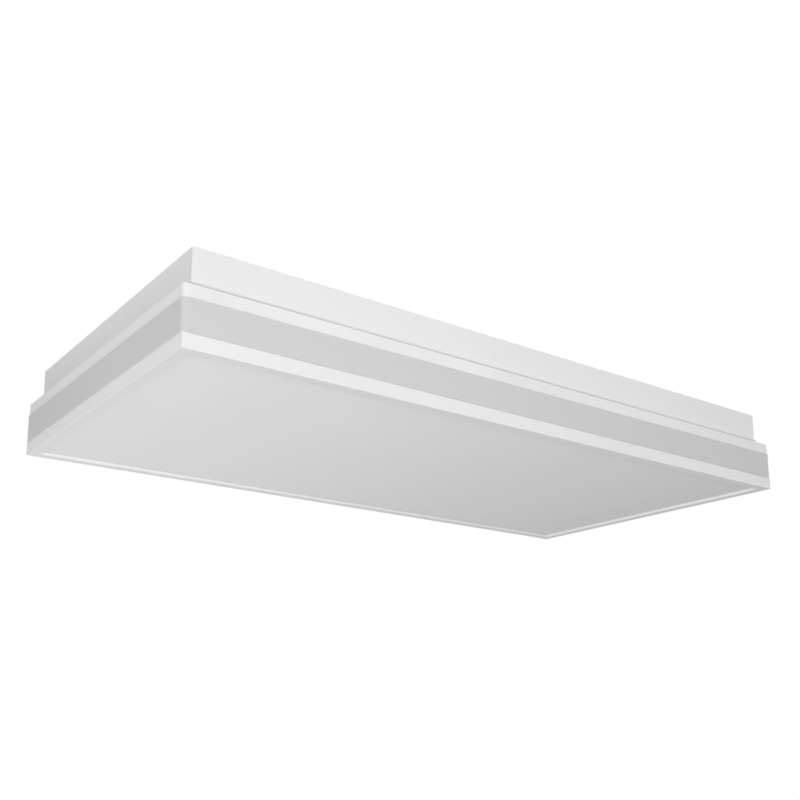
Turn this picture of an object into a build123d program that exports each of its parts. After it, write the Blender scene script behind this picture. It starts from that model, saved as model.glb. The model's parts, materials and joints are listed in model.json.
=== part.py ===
from build123d import *
import math
import os

# A rectangular LED ceiling light. The origin is the middle of the ceiling face, +Z points up
# into the ceiling, and the light hangs down from it. Heights are given as depths below the
# ceiling face, and "inset" is the distance inwards from the outer face of the white rails.
# All sizes are in millimetres.

# Overall size, over the side band
LENGTH = 600.0
WIDTH = 300.0

# Stack of the side view, from the ceiling down
HOUSING_REVEAL = 30.0
UPPER_RAIL_HEIGHT = 9.3
BAND_HEIGHT = 23.0
LOWER_RAIL_HEIGHT = 10.4

# Housing pan and the tray that closes it
SHEET = 0.8
TRAY_SHEET = 1.2
HOUSING_INSET = 8.7
TRAY_LIP = 1.2
SHADOW_GAP = 4.2
PAN_FLANGE = 14.0
PAN_EDGE_ROUND = 0.9
FLANGE_SLIT = 0.6
BEAD_LENGTH = 400.0
BEAD_WIDTH = 12.0
BEAD_DEPTH = 1.4
BEAD_SIDE_INSET = 27.0

# Ceiling fixings
CEILING_SLOT_SPACING = 400.0
CEILING_SLOT_LENGTH = 12.0
CEILING_SLOT_WIDTH = 5.0
ACCESS_HOLE_RADIUS = 6.0

# Side band
BAND_PROUD = 0.8
BAND_WALL = 2.6
BAND_CORNER_RADIUS = 4.5
UPPER_TONGUE_HEIGHT = 3.0
LOWER_TONGUE_HEIGHT = 1.5
TONGUE_THICKNESS = 1.7
TONGUE_CLEARANCE = 0.15
BAND_RIM_HEIGHT = 2.0
BAND_RIM_SLOPE = 1.8

# Upper frame
RAIL_CORNER_RADIUS = 3.5
LEAST_CORNER = 1.0
UPPER_WALL = 1.8
FRAME_FLANGE = 21.0
FRAME_FLANGE_THICKNESS = 1.8
UPSTAND_INSET = 10.4
UPSTAND_THICKNESS = 1.6
GROOVE_RIB_THICKNESS = 1.4
GROOVE_RIB_HEIGHT = 5.5
INNER_RIM_HEIGHT = 4.0
INNER_RIM_THICKNESS = 1.6
GUSSET_PITCH = 50.0
GUSSET_THICKNESS = 1.2
SEAT_GAP = 0.15

# Pieces along the edge of the base: magnets, locating pins and tray screws
FIXING_INSET = 17.7
MAGNET_END_INSET = 74.2
PIN_END_INSET = 149.2
SCREW_END_INSET = 37.2
SCREW_MIDDLE_OFFSET = 75.0
SCREW_SIDE_OFFSET = 60.0
MAGNET_RADIUS = 4.8
MAGNET_HEIGHT = 3.2
CUP_WALL = 0.6
CUP_FLOOR = 0.9
MAGNET_CLEARANCE = 0.05
BOSS_WALL = 1.9
PIN_RADIUS = 2.0
PIN_TIP_RADIUS = 1.2
PIN_REACH = 3.6
PIN_CLEARANCE = 0.4

# Lower rails
BEZEL_WIDTH = 8.5
LOWER_WALL = 1.6
BEZEL_SKIN = 1.3
BEZEL_LIP = 1.3
PANEL_RECESS = 2.3
PANEL_THICKNESS = 2.0
PANEL_HEADROOM = 0.4
PANEL_EDGE_GAP = 0.8
SHELF_THICKNESS = 1.0
SHELF_REACH = 6.0
TOP_SHELF_THICKNESS = 0.8
TOP_SHELF_REACH = 5.4

# Corner keys and posts
KEY_THICKNESS = 2.0
KEY_WIDTH = 5.0
KEY_LEG = 34.0
KEY_CLEARANCE = 0.1
POST_INSET = 14.0
POST_RADIUS = 4.0
POST_WAIST_RADIUS = 3.2
POST_HEAD_HEIGHT = 5.0
POST_TAPER = 1.0
POST_SCREW_LENGTH = 8.0

# Screws, all with the same thread
SCREW_SHANK_RADIUS = 1.4
SCREW_HEAD_RADIUS = 2.8
SCREW_HEAD_HEIGHT = 1.9
SCREW_BROW_HEIGHT = 0.9
SCREW_BROW_RADIUS = 2.0
SCREW_LENGTH = 6.0
SCREW_CLEARANCE = 0.1

# Light source
ROW_COUNT = 4
OUTER_ROW_INSET = 50.2
BOARD_END_GAP = 8.2
BOARD_WIDTH = 16.0
BOARD_THICKNESS = 1.6
CHIP_PITCH = 27.0
CHIP_LENGTH = 3.5
CHIP_WIDTH = 2.8
CHIP_HEIGHT = 0.7
CHIP_END_GAP = 9.0
RIVETS_PER_BOARD = 4
RIVET_RADIUS = 1.5
RIVET_HEAD_RADIUS = 2.9
RIVET_HEAD_HEIGHT = 0.9
RIVET_CROWN_RADIUS = 1.7
RIVET_TAIL_RADIUS = 2.1
RIVET_TAIL_HEIGHT = 1.2
RIVET_CLEARANCE = 0.1
CONNECTOR_END_INSET = 9.0
CONNECTOR_LENGTH = 11.0
CONNECTOR_WIDTH = 9.0
CONNECTOR_HEIGHT = 4.0
CONNECTOR_CORNER = 0.8
CONNECTOR_POLE_PITCH = 6.0

# Service opening, supply grommet and terminal block
SERVICE_LENGTH = 88.0
SERVICE_WIDTH = 34.0
SERVICE_CORNER = 4.0
GROMMET_X = 28.0
GROMMET_HOLE_RADIUS = 10.0
GROMMET_BORE_RADIUS = 5.0
GROMMET_FLANGE_RADIUS = 12.5
GROMMET_FLANGE_HEIGHT = 1.5
GROMMET_COLLAR_HEIGHT = 3.5
GROMMET_COLLAR_WALL = 1.8
GROMMET_COLLAR_FLARE = 1.0
DISH_DEPTH = 2.0
DISH_MARGIN = 4.0
TERMINAL_X = -20.0
TERMINAL_LENGTH = 24.0
TERMINAL_HEADROOM = 6.8
TERMINAL_EAR = 6.0
TERMINAL_EAR_THICKNESS = 2.2
TERMINAL_WALL = 1.3
POLE_COUNT = 3
POLE_PITCH = 8.0
PORT_WIDTH = 5.2
PORT_DEPTH = 6.0
PORT_AXIS_HEIGHT = 5.7
CONTACT_WALL = 0.5
CONTACT_LENGTH = 10.0
BUTTON_LENGTH = 6.0
BUTTON_WIDTH = 4.2
BUTTON_HEIGHT = 5.4
BUTTON_STAND = 2.0
BUTTON_TRAVEL = 1.5
BUTTON_CLEARANCE = 0.25
BUTTON_CORNER = 0.5
BUTTON_SLOT_WIDTH = 1.0
BUTTON_SLOT_LENGTH = 4.2

# Terminal cover
CAP_RIM = 2.5
CAP_WALL = 1.5
CAP_DROP = 5.0
CAP_SKIRT_HEIGHT = 5.0
CAP_CLEARANCE = 0.25
CAP_NOTCH_LENGTH = 44.0
CAP_GRIP_X = 26.0
CAP_GRIP_PITCH = 3.2
CAP_GRIP_LENGTH = 12.8
CAP_GRIP_WIDTH = 1.6
CAP_GRIP_HEIGHT = 0.8

# LED supply
DRIVER_END_GAP = 26.0
DRIVER_LENGTH = 150.0
DRIVER_WIDTH = 40.0
DRIVER_HEADROOM = 3.8
DRIVER_WALL = 1.8
DRIVER_LID = 1.8
DRIVER_CORNER = 3.0
DRIVER_EAR = 9.0
DRIVER_EAR_WIDTH = 12.0
DRIVER_EAR_THICKNESS = 2.2
DRIVER_EAR_END_INSET = 15.0
DRIVER_BOARD_THICKNESS = 1.6
DRIVER_BOARD_STAND = 2.0
DRIVER_INNER_GAP = 0.4
DRIVER_PILLAR_RADIUS = 2.0
CORE_LENGTH = 22.0
CORE_WIDTH = 20.0
CORE_OUTER_LIMB = 4.0
CORE_MIDDLE_LIMB = 6.0
CORE_YOKE = 2.0
CORE_CLEARANCE = 0.2
WINDING_LENGTH = 13.0
WINDING_WIDTH = 26.0
WINDING_CORNER = 2.0
CAPACITOR_RADIUS = 5.0
CAPACITOR_LENGTH = 16.0

# Wiring
LEAD_RADIUS = 0.8
LEAD_CLEARANCE = 0.2
LEAD_INSERTION = 3.0
LEAD_SAG = 1.0
BEND_SHARE = 0.45
LEAD_GROMMET_HOLE_RADIUS = 8.2
LEAD_GROMMET_BORE_RADIUS = 6.6
LEAD_GROMMET_FLANGE_RADIUS = 10.2
LEAD_GROMMET_FLANGE_HEIGHT = 1.0
LEAD_SIDE_STEP = 1.4
SUPPLY_DEPTH = 10.0
LIVE_ENTRY_Y = -5.0
NEUTRAL_ENTRY_Y = 3.0
RED_DEPTH = 10.0
BLACK_DEPTH = 14.0
JUMPER_STRAIGHT = 14.0
JUMPER_BOW = 1.6
EARTH_SETBACK = 40.0
EARTH_Y = 36.0
EARTH_RUN = 12.0
EARTH_KNEE = 8.0
TAG_THICKNESS = 0.8
TAG_RADIUS = 4.5
TAG_NECK_WIDTH = 3.2
TAG_BARREL_START = 7.5
TAG_BARREL_LENGTH = 3.0
TAG_BARREL_WALL = 0.4
TAG_BARREL_CLEARANCE = 0.05

# Depths that follow from the sizes above
RAIL_LENGTH = LENGTH - 2 * BAND_PROUD
RAIL_WIDTH = WIDTH - 2 * BAND_PROUD
FRAME_TOP = HOUSING_REVEAL
BAND_TOP = FRAME_TOP + UPPER_RAIL_HEIGHT
LOWER_TOP = BAND_TOP + BAND_HEIGHT
BOTTOM = LOWER_TOP + LOWER_RAIL_HEIGHT
TRAY_BOTTOM = FRAME_TOP - SHADOW_GAP
TRAY_TOP = TRAY_BOTTOM - TRAY_SHEET
PAN_LENGTH = RAIL_LENGTH - 2 * HOUSING_INSET
PAN_WIDTH = RAIL_WIDTH - 2 * HOUSING_INSET

# The band's tongues stand just inside the walls of both rails, and a magnet in its cup
# fits a pocket of the upper frame.
BAND_TONGUE_INSET = max(UPPER_WALL, LOWER_WALL) + TONGUE_CLEARANCE
POCKET_RADIUS = MAGNET_RADIUS + CUP_WALL + 2 * MAGNET_CLEARANCE
POCKET_DEPTH = MAGNET_HEIGHT + CUP_FLOOR + 2 * MAGNET_CLEARANCE

# Heights inside the lower rail, measured up from its bottom face
PANEL_TOP = PANEL_RECESS + PANEL_THICKNESS
SHELF_UNDERSIDE = PANEL_TOP + PANEL_HEADROOM
SHELF_TOP = SHELF_UNDERSIDE + SHELF_THICKNESS
KEY_BOTTOM = SHELF_TOP + KEY_CLEARANCE
KEY_TOP = KEY_BOTTOM + KEY_THICKNESS
TOP_SHELF_UNDERSIDE = KEY_TOP + KEY_CLEARANCE
TOP_SHELF_TOP = TOP_SHELF_UNDERSIDE + TOP_SHELF_THICKNESS

# Places of the LED rows, and the ceiling fixings midway between an inner and an outer row
OUTER_ROW_Y = RAIL_WIDTH / 2 - OUTER_ROW_INSET
ROW_PITCH = 2 * OUTER_ROW_Y / (ROW_COUNT - 1)
ROWS = [-OUTER_ROW_Y + ROW_PITCH * row for row in range(ROW_COUNT)]
CEILING_SLOT_ROW = ROW_PITCH
CEILING_SLOTS = [
    (x * CEILING_SLOT_SPACING / 2, y * CEILING_SLOT_ROW) for x in (-1, 1) for y in (-1, 1)
]
BOARD_LENGTH = RAIL_LENGTH - 2 * (FRAME_FLANGE + BOARD_END_GAP)
CONNECTOR_X = -BOARD_LENGTH / 2 + CONNECTOR_END_INSET

# Places along the edge of the base
EDGE_X = RAIL_LENGTH / 2
EDGE_Y = RAIL_WIDTH / 2
SIDE_LINE = EDGE_Y - FIXING_INSET
END_LINE = EDGE_X - FIXING_INSET
MAGNETS = [
    (x * (EDGE_X - MAGNET_END_INSET), y * SIDE_LINE) for x in (-1, 0, 1) for y in (-1, 1)
]
PINS = [(x * (EDGE_X - PIN_END_INSET), y * SIDE_LINE) for x in (-1, 1) for y in (-1, 1)]
TRAY_SCREWS = [
    (x * place, y * SIDE_LINE)
    for place in (SCREW_MIDDLE_OFFSET, EDGE_X - SCREW_END_INSET)
    for x in (-1, 1)
    for y in (-1, 1)
] + [(x * END_LINE, y * SCREW_SIDE_OFFSET) for x in (-1, 1) for y in (-1, 1)]

# Terminal block and supply. The supply keeps its distance from the connectors, so that it
# follows the end of the pan.
TERMINAL_WIDTH = POLE_COUNT * POLE_PITCH + 2 * TERMINAL_WALL
TERMINAL_BOTTOM = TRAY_TOP - TERMINAL_HEADROOM
PORT_AXIS = SHEET + PORT_AXIS_HEIGHT
POLES = [POLE_PITCH * (pole - (POLE_COUNT - 1) / 2) for pole in range(POLE_COUNT)]
BUTTON_TOP = TERMINAL_BOTTOM + BUTTON_STAND - BUTTON_HEIGHT
DRIVER_BOTTOM = TRAY_TOP - DRIVER_HEADROOM
DRIVER_FAR_END = CONNECTOR_X + DRIVER_END_GAP
DRIVER_NEAR_END = DRIVER_FAR_END + DRIVER_LENGTH
DRIVER_X = (DRIVER_FAR_END + DRIVER_NEAR_END) / 2
DRIVER_BOARD_TOP = SHEET + DRIVER_WALL + DRIVER_BOARD_STAND

# Screws that hold the terminal block and the supply to the pan
TERMINAL_SCREWS = [(TERMINAL_X, y * (TERMINAL_WIDTH + TERMINAL_EAR) / 2) for y in (-1, 1)]
DRIVER_SCREWS = [
    (
        DRIVER_X + side * (DRIVER_LENGTH / 2 - DRIVER_EAR_END_INSET),
        side * (DRIVER_WIDTH + DRIVER_EAR) / 2,
    )
    for side in (-1, 1)
]
PAN_SCREWS = TERMINAL_SCREWS + DRIVER_SCREWS

# Where leads enter and leave the supply, and the depth of the ports of the board connectors
SUPPLY_ENTRIES = [(LIVE_ENTRY_Y, SUPPLY_DEPTH), (NEUTRAL_ENTRY_Y, SUPPLY_DEPTH)]
OUTPUT_EXITS = [
    (side * LEAD_SIDE_STEP, depth) for depth in (RED_DEPTH, BLACK_DEPTH) for side in (-1, 1)
]
BOARD_PORT_DEPTH = TRAY_BOTTOM + BOARD_THICKNESS + CONNECTOR_HEIGHT / 2
EARTH_X = TERMINAL_X - EARTH_SETBACK
LEAD_START = TERMINAL_X - TERMINAL_LENGTH / 2 + LEAD_INSERTION
TAG_BARREL_AXIS = SHEET + TAG_BARREL_WALL + TAG_BARREL_CLEARANCE + LEAD_RADIUS


# Drawing helpers

def slab(outline, top, bottom):
    """Solid of a flat outline between two depths."""
    return extrude(Pos(0, 0, -bottom) * outline, bottom - top)


def disc(x, y, radius, top, bottom):
    """Upright cylinder between two depths."""
    return slab(Pos(x, y) * Circle(radius), top, bottom)


def turned(points, x=0.0, y=0.0):
    """Solid of revolution about a vertical line, from (radius, depth) points."""
    outline = Polyline(*[(radius, 0, -depth) for radius, depth in points], close=True)
    return Pos(x, y) * revolve(make_face(outline), Axis.Z)


def rectangle(length, width, corner):
    """Flat rectangle, with rounded corners unless the corner radius is 0."""
    if corner > 0:
        return RectangleRounded(length, width, corner)
    return Rectangle(length, width)


def rail_corner(inset):
    """Corner radius of a rail wall at an inset, kept parallel to the outer one."""
    return max(RAIL_CORNER_RADIUS - inset, LEAST_CORNER)


def band_corner(inset):
    """Corner radius of a band wall at an inset, kept parallel to the outer one."""
    return max(BAND_CORNER_RADIUS - BAND_PROUD - inset, LEAST_CORNER)


def outline_at(inset, corner):
    """The plan of the light, drawn in by an inset, with rounded corners."""
    return rectangle(RAIL_LENGTH - 2 * inset, RAIL_WIDTH - 2 * inset, corner)


def loop(outer, inner, top, bottom, corner):
    """Wall that runs all round the light between two insets."""
    outside = slab(outline_at(outer, corner(outer)), top, bottom)
    return outside - slab(outline_at(inner, corner(inner)), top, bottom)


def square_corner(inset):
    return 0.0


def placed(pieces, spots):
    """Copies of a piece that is drawn about the vertical through the origin."""
    return [Pos(x, y) * pieces for x, y in spots]


def at_corners(piece):
    """Four copies of a piece drawn at a corner of the rails, its legs along +X and +Y."""
    corners = [(-EDGE_X, -EDGE_Y), (EDGE_X, -EDGE_Y), (EDGE_X, EDGE_Y), (-EDGE_X, EDGE_Y)]
    return [Pos(x, y) * Rot(0, 0, 90 * quarter) * piece for quarter, (x, y) in enumerate(corners)]


def countersunk(length, gap=0.0):
    """Countersunk screw with its flat head at depth 0 and its tip below."""
    head = SCREW_HEAD_RADIUS + gap
    shank = SCREW_SHANK_RADIUS + gap
    taper = SCREW_HEAD_RADIUS - SCREW_SHANK_RADIUS
    return turned([(0, 0), (head, 0), (shank, taper), (shank, length + gap), (0, length + gap)])


def pan_head(length):
    """Round-headed screw whose shank points up from depth 0 and whose head is below it."""
    return turned([
        (0, -length),
        (SCREW_SHANK_RADIUS, -length),
        (SCREW_SHANK_RADIUS, 0),
        (SCREW_HEAD_RADIUS, 0),
        (SCREW_HEAD_RADIUS, SCREW_BROW_HEIGHT),
        (SCREW_BROW_RADIUS, SCREW_HEAD_HEIGHT),
        (0, SCREW_HEAD_HEIGHT),
    ])


def lead(points):
    """Insulated wire along straight runs, each bend an arc that uses up most of its runs."""
    route = [Vector(x, y, -depth) for x, y, depth in points]
    radii = []
    for before, here, after in zip(route, route[1:], route[2:]):
        turn = math.radians((here - before).get_angle(after - here))
        run = min((here - before).length, (after - here).length)
        radii.append(BEND_SHARE * run / math.tan(turn / 2))
    path = FilletPolyline(*route, radius=radii)
    return sweep(Plane(path @ 0, z_dir=path % 0) * Circle(LEAD_RADIUS), path=path)


# Base: the housing pan

def bead(y):
    """Stiffening bead pressed down into the top of the pan: what is added, and what is cut."""
    slope = BEAD_DEPTH
    mouth = SlotOverall(BEAD_LENGTH, BEAD_WIDTH)
    floor = SlotOverall(BEAD_LENGTH - 2 * slope, BEAD_WIDTH - 2 * slope)
    cut = loft([Pos(0, y, 0) * mouth, Pos(0, y, -BEAD_DEPTH) * floor], ruled=True)
    return Pos(0, 0, -SHEET) * cut, cut


def dish():
    """Dish round the cable hole, so that the grommet stays below the ceiling face."""
    floor_radius = GROMMET_FLANGE_RADIUS + DISH_MARGIN
    mouth_radius = floor_radius + DISH_DEPTH
    profile = [(0, 0), (mouth_radius, 0), (floor_radius, DISH_DEPTH), (0, DISH_DEPTH)]
    cut = turned(profile, GROMMET_X)
    return Pos(0, 0, -SHEET) * cut, cut


def ceiling_pan():
    outside = slab(Rectangle(PAN_LENGTH, PAN_WIDTH), 0, TRAY_TOP)
    top_edges = outside.faces().sort_by(Axis.Z)[-1].edges()
    pan = fillet(top_edges, PAN_EDGE_ROUND)
    pan -= slab(Rectangle(PAN_LENGTH - 2 * SHEET, PAN_WIDTH - 2 * SHEET), SHEET, TRAY_TOP)

    flange_inset = HOUSING_INSET + PAN_FLANGE
    pan += loop(HOUSING_INSET + SHEET, flange_inset, TRAY_TOP - SHEET, TRAY_TOP, square_corner)
    slit = slab(Rectangle(4 * PAN_FLANGE, FLANGE_SLIT), TRAY_TOP - SHEET, TRAY_TOP)
    fold = HOUSING_INSET + 2 * SHEET
    corner_middle = fold + math.sqrt(2) * PAN_FLANGE
    pan -= at_corners(Pos(corner_middle, corner_middle) * Rot(0, 0, 45) * slit)

    for y in (-1, 1):
        added, cut = bead(y * (PAN_WIDTH / 2 - BEAD_SIDE_INSET))
        pan = pan + added - cut
    added, cut = dish()
    pan = pan + added - cut
    pan -= disc(GROMMET_X, 0, GROMMET_HOLE_RADIUS, 0, DISH_DEPTH + SHEET)

    slot = slab(SlotOverall(CEILING_SLOT_LENGTH, CEILING_SLOT_WIDTH), 0, SHEET)
    screw_hole = Circle(SCREW_SHANK_RADIUS + SCREW_CLEARANCE)
    top_hole = slab(screw_hole, 0, SHEET)
    flange_hole = slab(screw_hole, TRAY_TOP - SHEET, TRAY_TOP)
    pin_hole = slab(Circle(PIN_RADIUS + PIN_CLEARANCE), TRAY_TOP - SHEET, TRAY_TOP)
    pan -= placed(slot, CEILING_SLOTS) + placed(top_hole, PAN_SCREWS + [(EARTH_X, EARTH_Y)])
    return pan - (placed(flange_hole, TRAY_SCREWS) + placed(pin_hole, PINS))


def cable_grommet():
    """Rubber bush with a groove for the sheet and a collar that follows the cable."""
    collar_radius = GROMMET_BORE_RADIUS + GROMMET_COLLAR_WALL
    sheet_top = DISH_DEPTH
    sheet_bottom = DISH_DEPTH + SHEET
    lower = sheet_bottom + GROMMET_FLANGE_HEIGHT
    collar = lower + GROMMET_COLLAR_HEIGHT
    return turned([
        (GROMMET_BORE_RADIUS, sheet_top - GROMMET_FLANGE_HEIGHT),
        (GROMMET_FLANGE_RADIUS, sheet_top - GROMMET_FLANGE_HEIGHT),
        (GROMMET_FLANGE_RADIUS, sheet_top),
        (GROMMET_HOLE_RADIUS, sheet_top),
        (GROMMET_HOLE_RADIUS, sheet_bottom),
        (GROMMET_FLANGE_RADIUS, sheet_bottom),
        (collar_radius + GROMMET_COLLAR_FLARE, lower),
        (collar_radius, collar),
        (GROMMET_BORE_RADIUS, collar),
    ], GROMMET_X)


# Base: the tray

def led_tray():
    lip_inset = HOUSING_INSET - TRAY_LIP
    tray = slab(outline_at(lip_inset, 0), TRAY_TOP, TRAY_BOTTOM)
    tray -= slab(rectangle(SERVICE_LENGTH, SERVICE_WIDTH, SERVICE_CORNER), TRAY_TOP, TRAY_BOTTOM)
    holes = (
        placed(Circle(ACCESS_HOLE_RADIUS), CEILING_SLOTS)
        + placed(Circle(SCREW_SHANK_RADIUS + SCREW_CLEARANCE), TRAY_SCREWS)
        + placed(Circle(PIN_RADIUS + PIN_CLEARANCE), PINS)
        + placed(Circle(RIVET_RADIUS + RIVET_CLEARANCE), rivet_spots())
        + [Pos(CONNECTOR_X, 0) * Circle(LEAD_GROMMET_HOLE_RADIUS)]
    )
    return tray - [slab(hole, TRAY_TOP, TRAY_BOTTOM) for hole in holes]


def tray_screws():
    screw = Pos(0, 0, -TRAY_BOTTOM) * pan_head(SCREW_LENGTH)
    return placed(screw, TRAY_SCREWS)


def lead_grommet():
    bore = LEAD_GROMMET_BORE_RADIUS
    flange = LEAD_GROMMET_FLANGE_RADIUS
    top = TRAY_TOP - LEAD_GROMMET_FLANGE_HEIGHT
    bottom = TRAY_BOTTOM + LEAD_GROMMET_FLANGE_HEIGHT
    return turned([
        (bore, top),
        (flange, top),
        (flange, TRAY_TOP),
        (LEAD_GROMMET_HOLE_RADIUS, TRAY_TOP),
        (LEAD_GROMMET_HOLE_RADIUS, TRAY_BOTTOM),
        (flange, TRAY_BOTTOM),
        (flange, bottom),
        (bore, bottom),
    ], CONNECTOR_X)


# Base: the light source

def chip_places():
    """Places along a board, clear of the connector at its left end."""
    first = CONNECTOR_X + CONNECTOR_LENGTH / 2 + CHIP_PITCH / 2
    count = int((BOARD_LENGTH / 2 - CHIP_END_GAP - first) / CHIP_PITCH) + 1
    return [first + CHIP_PITCH * chip for chip in range(count)]


def rivet_spots():
    """Rivets of all boards, each midway between two chips."""
    places = chip_places()
    step = (len(places) - 2) / (RIVETS_PER_BOARD - 1)
    chosen = [places[int(step * rivet)] + CHIP_PITCH / 2 for rivet in range(RIVETS_PER_BOARD)]
    return [(x, y) for y in ROWS for x in chosen]


def led_board(y):
    board = slab(Rectangle(BOARD_LENGTH, BOARD_WIDTH), TRAY_BOTTOM, TRAY_BOTTOM + BOARD_THICKNESS)
    board = Pos(0, y) * board
    for x, row in rivet_spots():
        if row == y:
            hole = Pos(x, y) * Circle(RIVET_RADIUS + RIVET_CLEARANCE)
            board -= slab(hole, TRAY_BOTTOM, TRAY_BOTTOM + BOARD_THICKNESS)
    return board


def led_chips(y):
    top = TRAY_BOTTOM + BOARD_THICKNESS
    chip = slab(Rectangle(CHIP_LENGTH, CHIP_WIDTH), top, top + CHIP_HEIGHT)
    return placed(chip, [(x, y) for x in chip_places()])


def board_rivets():
    head = TRAY_BOTTOM + BOARD_THICKNESS
    rivet = turned([
        (0, TRAY_TOP - RIVET_TAIL_HEIGHT),
        (RIVET_TAIL_RADIUS, TRAY_TOP - RIVET_TAIL_HEIGHT),
        (RIVET_TAIL_RADIUS, TRAY_TOP),
        (RIVET_RADIUS, TRAY_TOP),
        (RIVET_RADIUS, head),
        (RIVET_HEAD_RADIUS, head),
        (RIVET_CROWN_RADIUS, head + RIVET_HEAD_HEIGHT),
        (0, head + RIVET_HEAD_HEIGHT),
    ])
    return placed(rivet, rivet_spots())


def pole_x(pole):
    """Place of a connector's red pole (-1) or black pole (1)."""
    return CONNECTOR_X + pole * CONNECTOR_POLE_PITCH / 2


def board_connectors():
    """Two-pole blocks at the left end of each board, with a through hole for each pole."""
    top = TRAY_BOTTOM + BOARD_THICKNESS
    plan = rectangle(CONNECTOR_LENGTH, CONNECTOR_WIDTH, CONNECTOR_CORNER)
    body = slab(plan, top, top + CONNECTOR_HEIGHT)
    for pole in (-1, 1):
        hole = Cylinder(LEAD_RADIUS + LEAD_CLEARANCE, CONNECTOR_WIDTH, rotation=(90, 0, 0))
        body -= Pos(pole * CONNECTOR_POLE_PITCH / 2, 0, -BOARD_PORT_DEPTH) * hole
    return placed(body, [(CONNECTOR_X, y) for y in ROWS])


# Base: terminal block

def terminal_block():
    """Block with two ears, and for each pole a supply port, a lead hole and a button well."""
    body = slab(rectangle(TERMINAL_LENGTH, TERMINAL_WIDTH, TERMINAL_WALL), SHEET, TERMINAL_BOTTOM)
    lower_edges = body.faces().sort_by(Axis.Z)[0].edges()
    body = chamfer(lower_edges, TERMINAL_WALL / 2)
    ears = rectangle(TERMINAL_LENGTH / 2, TERMINAL_WIDTH + 2 * TERMINAL_EAR, TERMINAL_WALL)
    body += slab(ears, SHEET, SHEET + TERMINAL_EAR_THICKNESS)
    body = Pos(TERMINAL_X, 0) * body
    for x, y in TERMINAL_SCREWS:
        hole = SCREW_SHANK_RADIUS + SCREW_CLEARANCE
        body -= disc(x, y, hole, SHEET, SHEET + TERMINAL_EAR_THICKNESS)

    port_face = TERMINAL_X + TERMINAL_LENGTH / 2
    chamber = PORT_DEPTH + CONTACT_LENGTH
    port = Box(chamber, PORT_WIDTH, PORT_WIDTH)
    hole = Cylinder(LEAD_RADIUS + LEAD_CLEARANCE, TERMINAL_LENGTH, rotation=(0, 90, 0))
    well_length = BUTTON_LENGTH + 2 * BUTTON_CLEARANCE
    well_width = BUTTON_WIDTH + 2 * BUTTON_CLEARANCE
    well = rectangle(well_length, well_width, BUTTON_CORNER + BUTTON_CLEARANCE)
    well_top = BUTTON_TOP - BUTTON_TRAVEL - BUTTON_CLEARANCE
    for y in POLES:
        body -= Pos(port_face - chamber / 2, y, -PORT_AXIS) * port
        body -= Pos(TERMINAL_X, y, -PORT_AXIS) * hole
        body -= slab(Pos(TERMINAL_X, y) * well, well_top, TERMINAL_BOTTOM)
    return body


def terminal_contacts():
    """Square clamp sleeves at the inner end of the supply ports."""
    outer = PORT_WIDTH
    inner = PORT_WIDTH - 2 * CONTACT_WALL
    sleeve = Box(CONTACT_LENGTH, outer, outer) - Box(CONTACT_LENGTH, inner, inner)
    x = TERMINAL_X + TERMINAL_LENGTH / 2 - PORT_DEPTH - CONTACT_LENGTH / 2
    return [Pos(x, y, -PORT_AXIS) * sleeve for y in POLES]


def release_button(y):
    """Push button with a screwdriver slot across its face."""
    face = BUTTON_TOP + BUTTON_HEIGHT
    button = slab(rectangle(BUTTON_LENGTH, BUTTON_WIDTH, BUTTON_CORNER), BUTTON_TOP, face)
    slot = Rectangle(BUTTON_SLOT_LENGTH, BUTTON_SLOT_WIDTH)
    button -= slab(slot, face - BUTTON_SLOT_WIDTH / 2, face)
    return Pos(TERMINAL_X, y) * button


def terminal_cover():
    """Shallow cap whose skirt plugs into the service opening and is notched for the leads."""
    rim_length = SERVICE_LENGTH + 2 * CAP_RIM
    rim_width = SERVICE_WIDTH + 2 * CAP_RIM
    plug_length = SERVICE_LENGTH - 2 * CAP_CLEARANCE
    plug_width = SERVICE_WIDTH - 2 * CAP_CLEARANCE
    top = TRAY_BOTTOM + SEAT_GAP
    bottom = top + CAP_DROP
    cap = slab(rectangle(rim_length, rim_width, SERVICE_CORNER + CAP_RIM), top, bottom)
    cap = fillet(cap.faces().sort_by(Axis.Z)[0].edges(), CAP_WALL)
    corner = SERVICE_CORNER - CAP_CLEARANCE
    plug = rectangle(plug_length, plug_width, corner)
    hollow = rectangle(plug_length - 2 * CAP_WALL, plug_width - 2 * CAP_WALL, corner - CAP_WALL)
    skirt_top = top - CAP_SKIRT_HEIGHT
    cap += slab(plug, skirt_top, top)
    cap -= slab(hollow, skirt_top, bottom - CAP_WALL)
    cap -= slab(Rectangle(CAP_NOTCH_LENGTH, rim_width), skirt_top, TRAY_TOP)
    grip = slab(SlotOverall(CAP_GRIP_LENGTH, CAP_GRIP_WIDTH), bottom, bottom + CAP_GRIP_HEIGHT)
    for place in (-1, 0, 1):
        cap += Pos(CAP_GRIP_X + place * CAP_GRIP_PITCH, 0) * Rot(0, 0, 90) * grip
    return cap


# Base: LED supply

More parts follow.
